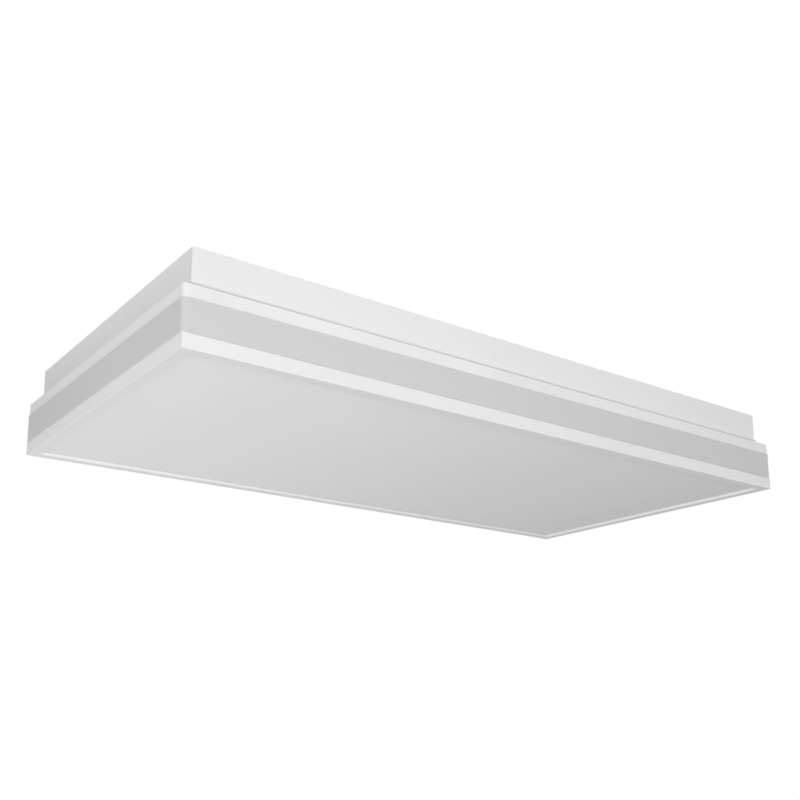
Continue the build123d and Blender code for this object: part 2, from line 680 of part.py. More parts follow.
def driver_case():
    """Tub with a screw ear on each long side and holes for the leads in both ends."""
    inner_length = DRIVER_LENGTH - 2 * DRIVER_WALL
    inner_width = DRIVER_WIDTH - 2 * DRIVER_WALL
    plan = rectangle(DRIVER_LENGTH, DRIVER_WIDTH, DRIVER_CORNER)
    hollow = rectangle(inner_length, inner_width, DRIVER_CORNER - DRIVER_WALL / 2)
    case = slab(plan, SHEET, DRIVER_BOTTOM - DRIVER_LID)
    case -= slab(hollow, SHEET + DRIVER_WALL, DRIVER_BOTTOM - DRIVER_LID)
    case = Pos(DRIVER_X, 0) * case
    ear_bottom = SHEET + DRIVER_EAR_THICKNESS
    for x, y in DRIVER_SCREWS:
        side = math.copysign(1, y)
        ear = Pos(x, y) * Circle(DRIVER_EAR_WIDTH / 2)
        ear += Pos(x, y - side * DRIVER_EAR / 2) * Rectangle(DRIVER_EAR_WIDTH, DRIVER_EAR)
        ear -= Pos(DRIVER_X, 0) * Rectangle(inner_length, inner_width)
        case += slab(ear, SHEET, ear_bottom)
        case -= disc(x, y, SCREW_SHANK_RADIUS + SCREW_CLEARANCE, SHEET, ear_bottom)
    hole = Cylinder(LEAD_RADIUS + LEAD_CLEARANCE, 4 * DRIVER_WALL, rotation=(0, 90, 0))
    case -= [Pos(DRIVER_NEAR_END, y, -depth) * hole for y, depth in SUPPLY_ENTRIES]
    case -= [Pos(DRIVER_FAR_END, y, -depth) * hole for y, depth in OUTPUT_EXITS]
    return case


def driver_lid():
    """Lid with a rim that drops inside the case."""
    seat = DRIVER_BOTTOM - DRIVER_LID
    lid = slab(rectangle(DRIVER_LENGTH, DRIVER_WIDTH, DRIVER_CORNER), seat, DRIVER_BOTTOM)
    lid = chamfer(lid.faces().sort_by(Axis.Z)[0].edges(), DRIVER_LID / 3)
    outset = DRIVER_WALL + DRIVER_INNER_GAP / 2
    inset = outset + DRIVER_WALL / 2
    rim = rectangle(DRIVER_LENGTH - 2 * outset, DRIVER_WIDTH - 2 * outset, DRIVER_CORNER / 2)
    rim -= rectangle(DRIVER_LENGTH - 2 * inset, DRIVER_WIDTH - 2 * inset, DRIVER_CORNER / 4)
    lid += slab(rim, seat - DRIVER_LID, seat)
    return Pos(DRIVER_X, 0) * lid


def driver_board():
    """Circuit board on four pillars."""
    length = DRIVER_LENGTH - 2 * (DRIVER_WALL + DRIVER_INNER_GAP)
    width = DRIVER_WIDTH - 2 * (DRIVER_WALL + DRIVER_INNER_GAP)
    top = DRIVER_BOARD_TOP
    board = slab(rectangle(length, width, DRIVER_CORNER), top, top + DRIVER_BOARD_THICKNESS)
    pillar = slab(Circle(DRIVER_PILLAR_RADIUS), SHEET + DRIVER_WALL, top)
    far_x = length / 2 - 2 * DRIVER_PILLAR_RADIUS
    far_y = width / 2 - 2 * DRIVER_PILLAR_RADIUS
    board += placed(pillar, [(x * far_x, y * far_y) for x in (-1, 1) for y in (-1, 1)])
    return Pos(DRIVER_X, 0) * board


def driver_part_room():
    """Depths of the board's face and of the room's end below the lid."""
    return DRIVER_BOARD_TOP + DRIVER_BOARD_THICKNESS, DRIVER_BOTTOM - DRIVER_LID - DRIVER_INNER_GAP


def driver_transformer():
    """Ferrite core with its winding round the middle."""
    top, bottom = driver_part_room()
    window = Rectangle(CORE_LENGTH - 2 * CORE_OUTER_LIMB, CORE_WIDTH)
    core = slab(Rectangle(CORE_LENGTH, CORE_WIDTH), top, bottom)
    core -= slab(window, top + CORE_YOKE, bottom - CORE_YOKE)
    core += slab(Rectangle(CORE_MIDDLE_LIMB, CORE_WIDTH), top, bottom)
    inset = CORE_YOKE + CORE_CLEARANCE
    gap = 2 * CORE_CLEARANCE
    plan = rectangle(WINDING_LENGTH, WINDING_WIDTH, WINDING_CORNER)
    plan -= Rectangle(CORE_MIDDLE_LIMB + gap, CORE_WIDTH + gap)
    winding = slab(plan, top + inset, bottom - inset)
    return [Pos(DRIVER_X, 0) * core, Pos(DRIVER_X, 0) * winding]


def driver_capacitors():
    """Two round capacitors lying on the board, one near each end."""
    top, bottom = driver_part_room()
    radius = min(CAPACITOR_RADIUS, (bottom - top) / 2)
    can = Cylinder(radius, CAPACITOR_LENGTH, rotation=(90, 0, 0))
    return [Pos(DRIVER_X + side * DRIVER_LENGTH / 4, 0, -top - radius) * can for side in (-1, 1)]


def pan_screw(thickness):
    """Screw through something of a given thickness into the top of the pan."""
    return Pos(0, 0, -SHEET - thickness) * pan_head(thickness + SHEET / 2)


def pan_screws():
    terminal = placed(pan_screw(TERMINAL_EAR_THICKNESS), TERMINAL_SCREWS)
    return terminal + placed(pan_screw(DRIVER_EAR_THICKNESS), DRIVER_SCREWS)


# Base: earth point and wiring

def earth_tag():
    """Ring tag with a barrel that the earth lead is crimped in, pointing at the terminal."""
    screw_hole = Circle(SCREW_SHANK_RADIUS + SCREW_CLEARANCE)
    neck = Rectangle(TAG_BARREL_START + TAG_THICKNESS, TAG_NECK_WIDTH)
    neck = Pos((TAG_BARREL_START + TAG_THICKNESS) / 2, 0) * neck
    flat = slab(Circle(TAG_RADIUS) + neck - screw_hole, SHEET, SHEET + TAG_THICKNESS)
    bore = LEAD_RADIUS + TAG_BARREL_CLEARANCE
    turn = (0, 90, 0)
    barrel = Cylinder(bore + TAG_BARREL_WALL, TAG_BARREL_LENGTH, rotation=turn)
    cut = Cylinder(bore, 2 * TAG_BARREL_LENGTH, rotation=turn)
    axis = Pos(TAG_BARREL_START + TAG_BARREL_LENGTH / 2, 0, -TAG_BARREL_AXIS)
    tag = flat + axis * barrel - axis * cut
    return Pos(EARTH_X, EARTH_Y) * Rot(0, 0, -45) * tag


def earth_screw():
    return Pos(EARTH_X, EARTH_Y) * pan_screw(TAG_THICKNESS)


def supply_lead(pole_y, entry):
    """Lead from the back of the terminal block into the near end of the supply."""
    entry_y, entry_depth = entry
    end = DRIVER_NEAR_END - DRIVER_WALL
    quarter = (LEAD_START - end) / 4
    middle_y = (pole_y + entry_y) / 2 - LEAD_SAG
    middle_depth = (PORT_AXIS + entry_depth) / 2 + LEAD_SAG
    return lead([
        (LEAD_START, pole_y, PORT_AXIS),
        (LEAD_START - quarter, pole_y, PORT_AXIS),
        (LEAD_START - 2 * quarter, middle_y, middle_depth),
        (end + quarter, entry_y, entry_depth),
        (end, entry_y, entry_depth),
    ])


def earth_lead():
    """Lead from the back of the terminal block into the barrel of the earth tag."""
    direction = Vector(1, -1).normalized()
    screw = Vector(EARTH_X, EARTH_Y)
    knee = screw + direction * (TAG_BARREL_START + TAG_BARREL_LENGTH + EARTH_KNEE)
    end = screw + direction * TAG_BARREL_START
    return lead([
        (LEAD_START, POLES[-1], PORT_AXIS),
        (LEAD_START - EARTH_RUN, POLES[-1], PORT_AXIS),
        (knee.X, knee.Y, TAG_BARREL_AXIS),
        (end.X, end.Y, TAG_BARREL_AXIS),
    ])


def output_lead(pole, side, depth):
    """Lead from the far end of the supply, down through the tray and into an inner row."""
    x = pole_x(pole)
    y = side * LEAD_SIDE_STEP
    end = ROW_PITCH / 2 - CONNECTOR_WIDTH / 2 + LEAD_INSERTION
    return lead([
        (DRIVER_FAR_END + DRIVER_WALL, y, depth),
        (x, y, depth),
        (x, y, BOARD_PORT_DEPTH),
        (x, side * end, BOARD_PORT_DEPTH),
    ])


def jumper(pole, side):
    """Lead from an inner row's connector to the outer row's, bowed a little to the left."""
    x = pole_x(pole)
    start = ROW_PITCH / 2 + CONNECTOR_WIDTH / 2 - LEAD_INSERTION
    end = ROW_PITCH * 3 / 2 - CONNECTOR_WIDTH / 2 + LEAD_INSERTION
    return lead([
        (x, side * start, BOARD_PORT_DEPTH),
        (x, side * (start + JUMPER_STRAIGHT), BOARD_PORT_DEPTH),
        (x - JUMPER_BOW, side * ROW_PITCH, BOARD_PORT_DEPTH),
        (x, side * (end - JUMPER_STRAIGHT), BOARD_PORT_DEPTH),
        (x, side * end, BOARD_PORT_DEPTH),
    ])


# Cover: the upper frame

def upper_frame():
    """Rail and flange, the upstand that meets the tray, and all that the cover hangs on."""
    flange_bottom = FRAME_TOP + FRAME_FLANGE_THICKNESS
    frame = loop(0, UPPER_WALL, FRAME_TOP, BAND_TOP, rail_corner)
    frame += loop(UPPER_WALL / 2, FRAME_FLANGE, FRAME_TOP, flange_bottom, rail_corner)
    seat = TRAY_BOTTOM + SEAT_GAP
    frame += loop(UPSTAND_INSET, UPSTAND_INSET + UPSTAND_THICKNESS, seat, flange_bottom, rail_corner)

    rib_inset = BAND_TONGUE_INSET + TONGUE_THICKNESS + TONGUE_CLEARANCE
    rib_bottom = FRAME_TOP + GROOVE_RIB_HEIGHT + FRAME_FLANGE_THICKNESS
    frame += loop(rib_inset, rib_inset + GROOVE_RIB_THICKNESS, flange_bottom, rib_bottom, band_corner)
    rim_bottom = flange_bottom + INNER_RIM_HEIGHT
    rim_outer = FRAME_FLANGE - INNER_RIM_THICKNESS
    frame += loop(rim_outer, FRAME_FLANGE, flange_bottom, rim_bottom, rail_corner)

    boss = slab(Circle(POCKET_RADIUS + BOSS_WALL), seat, seat + POCKET_DEPTH + BOSS_WALL)
    pocket = slab(Circle(POCKET_RADIUS), seat, seat + POCKET_DEPTH)
    tip = TRAY_TOP - PIN_REACH
    pin = turned([
        (0, tip),
        (PIN_TIP_RADIUS, tip),
        (PIN_RADIUS, TRAY_TOP),
        (PIN_RADIUS, FRAME_TOP),
        (0, FRAME_TOP),
    ])
    frame += placed(pin, PINS) + placed(boss, MAGNETS)
    frame += gussets(rib_inset + GROOVE_RIB_THICKNESS / 2, rim_outer, flange_bottom, rib_bottom)
    frame -= placed(pocket, MAGNETS)
    sink = countersunk(POST_SCREW_LENGTH, SCREW_CLEARANCE / 2)
    return frame - at_corners(Pos(POST_INSET, POST_INSET, -FRAME_TOP) * sink)


def gussets(outer, inner, top, bottom):
    """Triangular stiffeners under the flange, at an even pitch along all four sides."""
    reach = inner + INNER_RIM_THICKNESS / 4
    side = Polyline((outer, 0, -top), (reach, 0, -top), (outer, 0, -bottom), close=True)
    blade = extrude(make_face(side), GUSSET_THICKNESS / 2, both=True)
    pieces = []
    for length, edge, turn in ((RAIL_LENGTH, EDGE_Y, 90), (RAIL_WIDTH, EDGE_X, 0)):
        count = int((length / 2 - 2 * FRAME_FLANGE) / GUSSET_PITCH)
        for step in range(-count, count + 1):
            shifted = Pos(-edge, step * GUSSET_PITCH) * blade
            pieces.append(Rot(0, 0, turn) * shifted)
            pieces.append(Rot(0, 0, turn + 180) * shifted)
    return pieces


# Cover: the magnets

def magnets():
    top = TRAY_BOTTOM + SEAT_GAP + MAGNET_CLEARANCE
    magnet = slab(Circle(MAGNET_RADIUS), top, top + MAGNET_HEIGHT)
    return placed(magnet, MAGNETS)


def magnet_cups():
    top = TRAY_BOTTOM + SEAT_GAP + MAGNET_CLEARANCE
    floor = top + MAGNET_HEIGHT
    outer = MAGNET_RADIUS + MAGNET_CLEARANCE + CUP_WALL
    cup = slab(Circle(outer), top, floor + CUP_FLOOR)
    cup -= slab(Circle(MAGNET_RADIUS + MAGNET_CLEARANCE), top, floor)
    return placed(cup, MAGNETS)


# Cover: the side band

def tapered(inset_above, top, inset_below, bottom):
    """Solid plug whose outline changes evenly between two depths."""
    above = Pos(0, 0, -top) * outline_at(inset_above, band_corner(inset_above))
    below = Pos(0, 0, -bottom) * outline_at(inset_below, band_corner(inset_below))
    return loft([above, below], ruled=True)


def side_band():
    """Ring of constant wall with a thicker rim and a tongue at its top and bottom."""
    inner = BAND_WALL - BAND_PROUD
    tongue = BAND_TONGUE_INSET
    rim = tongue + TONGUE_THICKNESS
    top = BAND_TOP - UPPER_TONGUE_HEIGHT
    bottom = LOWER_TOP + LOWER_TONGUE_HEIGHT
    upper_rim = BAND_TOP + BAND_RIM_HEIGHT
    lower_rim = LOWER_TOP - BAND_RIM_HEIGHT

    band = slab(outline_at(-BAND_PROUD, BAND_CORNER_RADIUS), BAND_TOP, LOWER_TOP)
    band += slab(outline_at(tongue, band_corner(tongue)), top, bottom)
    band -= slab(outline_at(rim, band_corner(rim)), top, upper_rim)
    band -= tapered(rim, upper_rim, inner, upper_rim + BAND_RIM_SLOPE)
    wall_top = upper_rim + BAND_RIM_SLOPE
    wall_bottom = lower_rim - BAND_RIM_SLOPE
    band -= slab(outline_at(inner, band_corner(inner)), wall_top, wall_bottom)
    band -= tapered(inner, wall_bottom, rim, lower_rim)
    band -= slab(outline_at(rim, band_corner(rim)), lower_rim, bottom)
    return band


# Cover: the lower frame

def rail_profile():
    """Section of the extrusion, from its outer bottom corner, as (inset, height) points."""
    bezel_inner = BEZEL_WIDTH - BEZEL_LIP
    shelf = LOWER_WALL + SHELF_REACH
    top_shelf = LOWER_WALL + TOP_SHELF_REACH
    return [
        (0, 0),
        (BEZEL_WIDTH, 0),
        (BEZEL_WIDTH, PANEL_RECESS),
        (bezel_inner, PANEL_RECESS),
        (bezel_inner, BEZEL_SKIN),
        (LOWER_WALL, BEZEL_SKIN),
        (LOWER_WALL, SHELF_UNDERSIDE),
        (shelf, SHELF_UNDERSIDE),
        (shelf, SHELF_TOP),
        (LOWER_WALL, SHELF_TOP),
        (LOWER_WALL, TOP_SHELF_UNDERSIDE),
        (top_shelf, TOP_SHELF_UNDERSIDE),
        (top_shelf, TOP_SHELF_TOP),
        (LOWER_WALL, TOP_SHELF_TOP),
        (LOWER_WALL, LOWER_RAIL_HEIGHT),
        (0, LOWER_RAIL_HEIGHT),
    ]


def lower_rail(length, edge, turn):
    """One length of the frame, mitred at both ends, drawn along X and then turned."""
    points = [(0, -edge + inset, -BOTTOM + height) for inset, height in rail_profile()]
    bar = extrude(make_face(Polyline(*points, close=True)), length / 2, both=True)
    reach = 2 * BEZEL_WIDTH
    plan = make_face(Polyline(
        (-length / 2, -edge),
        (length / 2, -edge),
        (length / 2 - reach, -edge + reach),
        (-length / 2 + reach, -edge + reach),
        close=True,
    ))
    return Rot(0, 0, turn) * (bar & slab(plan, LOWER_TOP, BOTTOM))


def corner_keys():
    """Flat angle plates in the rails' channels, each with a pad for the post."""
    near = LOWER_WALL + KEY_CLEARANCE
    far = near + KEY_WIDTH
    legs = Pos((near + KEY_LEG) / 2, (near + far) / 2) * Rectangle(KEY_LEG - near, KEY_WIDTH)
    legs += Pos((near + far) / 2, (near + KEY_LEG) / 2) * Rectangle(KEY_WIDTH, KEY_LEG - near)
    middle = (far + POST_INSET) / 2
    reach = math.sqrt(2) * (POST_INSET - far)
    pad = Pos(middle, middle) * Rot(0, 0, 45) * SlotCenterToCenter(reach, 2 * POST_RADIUS)
    plate = slab(legs + pad, BOTTOM - KEY_TOP, BOTTOM - KEY_BOTTOM)
    sink = Rot(180, 0, 0) * countersunk(POST_SCREW_LENGTH, SCREW_CLEARANCE / 2)
    plate -= Pos(POST_INSET, POST_INSET, KEY_BOTTOM - BOTTOM) * sink
    return at_corners(plate)


def corner_posts():
    """Waisted posts between the upper frame and the corner keys, screwed at both ends."""
    top = FRAME_TOP + FRAME_FLANGE_THICKNESS
    bottom = BOTTOM - KEY_TOP
    post = turned([
        (0, top),
        (POST_RADIUS, top),
        (POST_RADIUS, top + POST_HEAD_HEIGHT),
        (POST_WAIST_RADIUS, top + POST_HEAD_HEIGHT + POST_TAPER),
        (POST_WAIST_RADIUS, bottom - POST_HEAD_HEIGHT - POST_TAPER),
        (POST_RADIUS, bottom - POST_HEAD_HEIGHT),
        (POST_RADIUS, bottom),
        (0, bottom),
    ])
    hole = SCREW_SHANK_RADIUS + SCREW_CLEARANCE / 2
    depth = POST_SCREW_LENGTH + SCREW_CLEARANCE
    post -= disc(0, 0, hole, top, FRAME_TOP + depth)
    post -= disc(0, 0, hole, BOTTOM - KEY_BOTTOM - depth, bottom)
    return at_corners(Pos(POST_INSET, POST_INSET) * post)


def post_screws():
    screw = countersunk(POST_SCREW_LENGTH)
    upper = Pos(POST_INSET, POST_INSET, -FRAME_TOP) * screw
    lower = Pos(POST_INSET, POST_INSET, KEY_BOTTOM - BOTTOM) * Rot(180, 0, 0) * screw
    return at_corners(upper) + at_corners(lower)


def diffuser_panel():
    inset = LOWER_WALL + PANEL_EDGE_GAP
    return slab(outline_at(inset, 0), BOTTOM - PANEL_TOP, BOTTOM - PANEL_RECESS)


# The assembly, one named entry for each piece

parts = {
    "ceiling_pan": ceiling_pan(),
    "cable_grommet": cable_grommet(),
    "led_tray": led_tray(),
    "tray_screws": tray_screws(),
    "lead_grommet": lead_grommet(),
    "board_rivets": board_rivets(),
    "board_connectors": board_connectors(),
    "terminal_block": terminal_block(),
    "terminal_contacts": terminal_contacts(),
    "terminal_cover": terminal_cover(),
    "driver_case": driver_case(),
    "driver_lid": driver_lid(),
    "driver_board": driver_board(),
    "driver_transformer": driver_transformer(),
    "driver_capacitors": driver_capacitors(),
    "pan_screws": pan_screws(),
    "earth_tag": earth_tag(),
    "earth_screw": earth_screw(),
    "live_lead": supply_lead(POLES[0], SUPPLY_ENTRIES[0]),
    "neutral_lead": supply_lead(POLES[1], SUPPLY_ENTRIES[1]),
    "earth_lead": earth_lead(),
    "output_leads_red": [output_lead(-1, side, RED_DEPTH) for side in (-1, 1)],
    "output_leads_black": [output_lead(1, side, BLACK_DEPTH) for side in (-1, 1)],
    "jumpers_red": [jumper(-1, side) for side in (-1, 1)],
    "jumpers_black": [jumper(1, side) for side in (-1, 1)],
    "upper_frame": upper_frame(),
    "magnets": magnets(),
    "magnet_cups": magnet_cups(),
    "side_band": side_band(),
    "lower_rail_front": lower_rail(RAIL_LENGTH, EDGE_Y, 0),
    "lower_rail_right": lower_rail(RAIL_WIDTH, EDGE_X, 90),
    "lower_rail_back": lower_rail(RAIL_LENGTH, EDGE_Y, 180),
    "lower_rail_left": lower_rail(RAIL_WIDTH, EDGE_X, 270),
    "corner_keys": corner_keys(),
    "corner_posts": corner_posts(),
    "post_screws": post_screws(),
    "diffuser_panel": diffuser_panel(),
}
for number, y in enumerate(ROWS, start=1):
    parts[f"led_board_{number}"] = led_board(y)
    parts[f"led_chips_{number}"] = led_chips(y)
for number, y in enumerate(POLES, start=1):
    parts[f"release_button_{number}"] = release_button(y)

os.makedirs("parts", exist_ok=True)
for name, piece in parts.items():
    shape = Compound(piece) if isinstance(piece, list) else piece
    export_step(shape, f"parts/{name}.step")
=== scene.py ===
import json
import math
from contextlib import contextmanager

import bmesh
import bpy
from mathutils import Matrix, Vector


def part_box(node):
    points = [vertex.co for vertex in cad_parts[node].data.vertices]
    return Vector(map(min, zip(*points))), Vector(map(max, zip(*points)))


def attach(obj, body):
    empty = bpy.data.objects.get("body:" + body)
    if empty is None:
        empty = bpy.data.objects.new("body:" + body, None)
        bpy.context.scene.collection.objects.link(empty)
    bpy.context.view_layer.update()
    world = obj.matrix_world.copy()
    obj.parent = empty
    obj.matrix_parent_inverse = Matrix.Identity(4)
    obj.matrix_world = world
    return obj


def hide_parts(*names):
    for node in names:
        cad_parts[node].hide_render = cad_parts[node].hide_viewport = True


# A rectangular LED ceiling light, dressed for a picture from below. The frame gives every
# place and size in metres, with the ceiling face at height 0 and the light hanging below it.

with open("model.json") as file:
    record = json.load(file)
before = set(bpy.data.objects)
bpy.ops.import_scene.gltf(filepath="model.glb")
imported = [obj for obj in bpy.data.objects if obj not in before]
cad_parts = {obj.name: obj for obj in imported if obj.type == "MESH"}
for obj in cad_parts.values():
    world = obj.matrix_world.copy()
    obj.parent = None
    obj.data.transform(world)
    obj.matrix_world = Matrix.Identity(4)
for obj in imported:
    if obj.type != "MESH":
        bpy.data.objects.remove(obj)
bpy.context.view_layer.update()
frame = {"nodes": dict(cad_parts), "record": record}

MM = 0.001
RECORD = frame["record"]
BODY_OF = {node: body for body, nodes in RECORD["behaviour"]["bodies"].items() for node in nodes}
SLOT_OF = {part["node"]: part["material_slot"] for part in RECORD["subparts"]}

# Camera, set where the photograph was taken from
CAMERA_PLACE = (-0.5583, -0.7227, -0.3153)
CAMERA_HEADING = 53.48
CAMERA_PITCH = 10.21
CAMERA_LENS = 47.88
CAMERA_SHIFT = 0.2
CAMERA_SENSOR = 36
CAMERA_NEAR_LIMIT = 0.01

# Surroundings and lamps: each lamp has its place, its aim, its size and its power
FLOOR_HEIGHT = -1.1
FLOOR_SIZE = 8.0
FLOOR_COLOUR = 0.3
FLOOR_LIFT = 0.88
AMBIENT = 0.5
NEAR_CORNER = (-0.15, -0.05, -0.04)
MIDDLE = (0.0, 0.0, -0.04)
LAMPS = {
    "front_left_lamp": ((-0.35, -0.95, -0.2), NEAR_CORNER, 0.6, 3.9),
    "front_right_lamp": ((0.5, -1.0, -0.2), NEAR_CORNER, 0.6, 1.25),
    "left_lamp": ((-0.75, -0.13, -0.15), MIDDLE, 0.3, 0.47),
    "low_corner_lamp": ((-0.9, -0.5, -0.7), NEAR_CORNER, 0.6, 1.55),
    "low_left_lamp": ((-0.5, 0.0, -0.95), NEAR_CORNER, 0.6, 2.8),
    "low_back_lamp": ((0.0, 1.0, -0.6), NEAR_CORNER, 0.6, 2.55),
    "right_lamp": ((1.1, 0.0, -0.03), MIDDLE, 0.6, 1.5),
    "top_lamp": ((0.0, 0.0, 1.2), MIDDLE, 1.0, 1.5),
}

# Modelling: distances that count as none, the bends in degrees that count as flat and as
# sharp, and how much of a face's normal has to point a way for the face to look that way
SAME_PLACE = 0.02 * MM
SAME_CURVE = 0.1 * MM
WELD = 1e-6
CUT_WELD = 1e-7
FLAT_ANGLE = 0.6
SHARP_ANGLE = 40
FACING = 0.9

# Materials: most of a noise's values lie between these two
NOISE_REACH = (0.3, 0.7)

# Faces of the cover, read from the frame
EDGE_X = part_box("upper_frame")[1].x
EDGE_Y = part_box("upper_frame")[1].y
UPPER_RAIL_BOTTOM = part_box("upper_frame")[0].z
LOWER_RAIL_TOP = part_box("lower_rail_front")[1].z
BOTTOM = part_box("lower_rail_front")[0].z
BAND_EDGE_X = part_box("side_band")[1].x
BAND_EDGE_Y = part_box("side_band")[1].y
BAND_TONGUE_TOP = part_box("side_band")[1].z
BAND_TONGUE_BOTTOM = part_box("side_band")[0].z

# Section of the side band
BAND_CORNER = 4.5 * MM
BAND_WALL = 2.6 * MM
BAND_TONGUE_IN = 2.75 * MM
BAND_TONGUE = 1.7 * MM
BAND_RIM = 2.0 * MM
BAND_RIM_SLOPE = 1.8 * MM
BAND_CORNER_STEPS = 18
BAND_EDGE_ROUND = 0.35 * MM

# Section of the lower rails
BEZEL_WIDTH = 8.5 * MM
BEZEL_SKIN = 1.3 * MM
BEZEL_LIP = 1.3 * MM
RAIL_WALL = 1.6 * MM
PANEL_RECESS = 2.3 * MM
SHELF_LOW = 4.7 * MM
SHELF_HIGH = 5.7 * MM
SHELF_REACH = 6.0 * MM
TOP_SHELF_LOW = 7.9 * MM
TOP_SHELF_HIGH = 8.7 * MM
TOP_SHELF_REACH = 5.4 * MM
RAIL_EDGE_ROUND = 0.3 * MM
LIP_EDGE_ROUND = 0.25 * MM
SEAM_EDGE_ROUND = 0.1 * MM

# Plates that keep the CAD's shape
PANEL_EDGE_ROUND = 0.25 * MM
TRAY_EDGE_ROUND = 0.2 * MM
TRAY_EDGE_DEPTH = 0.1 * MM
BOARD_EDGE_ROUND = 0.12 * MM
CUT_SIDE = 0.3

# Small hardware
SCREW_HEAD_RADIUS = 2.8 * MM
SCREW_HEAD_HEIGHT = 1.9 * MM
SCREW_HEAD_ROUND = 0.45 * SCREW_HEAD_HEIGHT
SCREW_SHANK_RADIUS = 1.4 * MM
CROSS_LENGTH = 3.0 * MM
CROSS_WIDTH = 0.7 * MM
CROSS_DEPTH = 1.0 * MM
SCREW_TURN = 0.7
POST_SCREW_TURN = 0.9
RIVET_HEAD_RADIUS = 2.9 * MM
RIVET_HEAD_HEIGHT = 0.9 * MM
RIVET_HEAD_ROUND = 0.55 * MM
RIVET_BORE_RADIUS = 0.9 * MM
RIVET_BORE_RIM = 0.15 * MM
RIVET_BORE_DEPTH = 0.7 * MM
RIVET_SHANK_RADIUS = 1.5 * MM
RIVET_TAIL_FLARE = 0.6 * MM
RIVET_TAIL_HEIGHT = 1.2 * MM
RIVET_TURN = 0.3

# Circuit boards, with their chips and connectors
BOARDS = (1, 2, 3, 4)
BOARD_PITCH = 66 * MM
CHIP_PITCH = 27 * MM
FIRST_CHIP = -242 * MM
TRACK_EDGE = 5.6 * MM
TRACK_GAP = 0.6 * MM
CHIP_CORNER = 0.2 * MM
CHIP_RIM = 0.45 * MM
CHIP_WINDOW_SLOPE = 0.12 * MM
CHIP_WINDOW_DEPTH = 0.2 * MM
CONNECTOR_ROUND = 0.4 * MM
POLE_OFFSET = 3.0 * MM
WIRE_HOLE_RADIUS = 1.0 * MM
SLOT_OFFSET = 2.6 * MM
SLOT_HALF_LENGTH = 0.8 * MM
SLOT_HALF_WIDTH = 0.45 * MM
SLOT_DEPTH = 0.7 * MM


# Modelling helpers

def pick(piece):
    """Selects one object and makes it the active one."""
    bpy.ops.object.select_all(action="DESELECT")
    piece.select_set(True)
    bpy.context.view_layer.objects.active = piece


@contextmanager
def editing(piece):
    """Edit mode on one piece, with nothing selected in it."""
    pick(piece)
    bpy.ops.object.mode_set(mode="EDIT")
    bpy.ops.mesh.select_mode(type="FACE")
    bpy.ops.mesh.select_all(action="DESELECT")
    yield
    bpy.ops.object.mode_set(mode="OBJECT")


def select_faces(piece, test):
    """Selects only the faces whose middle and normal pass a test."""
    bpy.ops.mesh.select_mode(type="FACE")
    bpy.ops.mesh.select_all(action="DESELECT")
    mesh = bmesh.from_edit_mesh(piece.data)
    for face in mesh.faces:
        if test(face.calc_center_median(), face.normal):
            face.select_set(True)
    bmesh.update_edit_mesh(piece.data)


def select_edges(piece, test):
    """Selects only the edges whose two ends pass a test."""
    bpy.ops.mesh.select_mode(type="EDGE")
    bpy.ops.mesh.select_all(action="DESELECT")
    mesh = bmesh.from_edit_mesh(piece.data)
    for edge in mesh.edges:
        if test(edge.verts[0].co, edge.verts[1].co):
            edge.select_set(True)
    bmesh.update_edit_mesh(piece.data)


def near(value, target, tolerance=SAME_PLACE):
    """Whether two measures are the same, give or take the mesh's own rounding."""
    return abs(value - target) < tolerance


def push(y=0.0, z=0.0):
    """Extrudes the selected faces by an offset."""
    bpy.ops.mesh.extrude_region_move(TRANSFORM_OT_translate={"value": (0, y, z)})


def raise_by(height):
    """Extrudes the selected faces straight up or down."""
    push(z=height)


def draw_in(amount, depth=0.0):
    """Insets the selected face, or grows it where the amount is negative."""
    bpy.ops.mesh.inset(thickness=abs(amount), depth=depth, use_outset=amount < 0)


def cut_across(point, normal, clear_outer=False, fill=False):
    """Bisects the whole piece that is being edited by a plane."""
    bpy.ops.mesh.select_mode(type="FACE")
    bpy.ops.mesh.select_all(action="SELECT")
    bpy.ops.mesh.bisect(
        plane_co=point,
        plane_no=normal,
        use_fill=fill,
        clear_outer=clear_outer,
        threshold=CUT_WELD,
    )


def block(name, low, high):
    """Box primitive between two corners."""
    low, high = Vector(low), Vector(high)
    bpy.ops.object.select_all(action="DESELECT")
    bpy.ops.mesh.primitive_cube_add(size=1, location=(low + high) / 2, scale=high - low)
    piece = bpy.context.object
    piece.name = name
    settle(piece)
    return piece


def rod(name, radius, low, high, sides=32):
    """Upright cylinder primitive on the middle axis, between two heights."""
    bpy.ops.object.select_all(action="DESELECT")
    bpy.ops.mesh.primitive_cylinder_add(
        vertices=sides, radius=radius, depth=high - low, location=(0, 0, (low + high) / 2)
    )
    piece = bpy.context.object
    piece.name = name
    settle(piece)
    return piece


def settle(piece):
    """Puts a piece's place, turn and scale into its mesh."""
    pick(piece)
    bpy.ops.object.transform_apply(location=True, rotation=True, scale=True)


def smooth(piece, angle):
    """Smooth shading across edges that turn less than an angle, with flat faces left flat."""
    pick(piece)
    bpy.ops.object.shade_smooth_by_angle(angle=math.radians(angle))
    weighted = piece.modifiers.new("flat faces first", "WEIGHTED_NORMAL")
    weighted.keep_sharp = True
    apply_modifier(piece, weighted)


def round_edges(piece, radius, segments):
    """Rounds every sharp edge, and drops the faces that this leaves with no size."""
    bevel = piece.modifiers.new("rounded edges", "BEVEL")
    bevel.width = radius
    bevel.segments = segments
    bevel.limit_method = "ANGLE"
    bevel.angle_limit = math.radians(SHARP_ANGLE)
    apply_modifier(piece, bevel)
    with editing(piece):
        bpy.ops.mesh.select_all(action="SELECT")
        bpy.ops.mesh.dissolve_degenerate(threshold=WELD)


def apply_modifier(piece, modifier):
    """Works a modifier into a piece's mesh for good."""
    pick(piece)
    bpy.ops.object.modifier_apply(modifier=modifier.name)


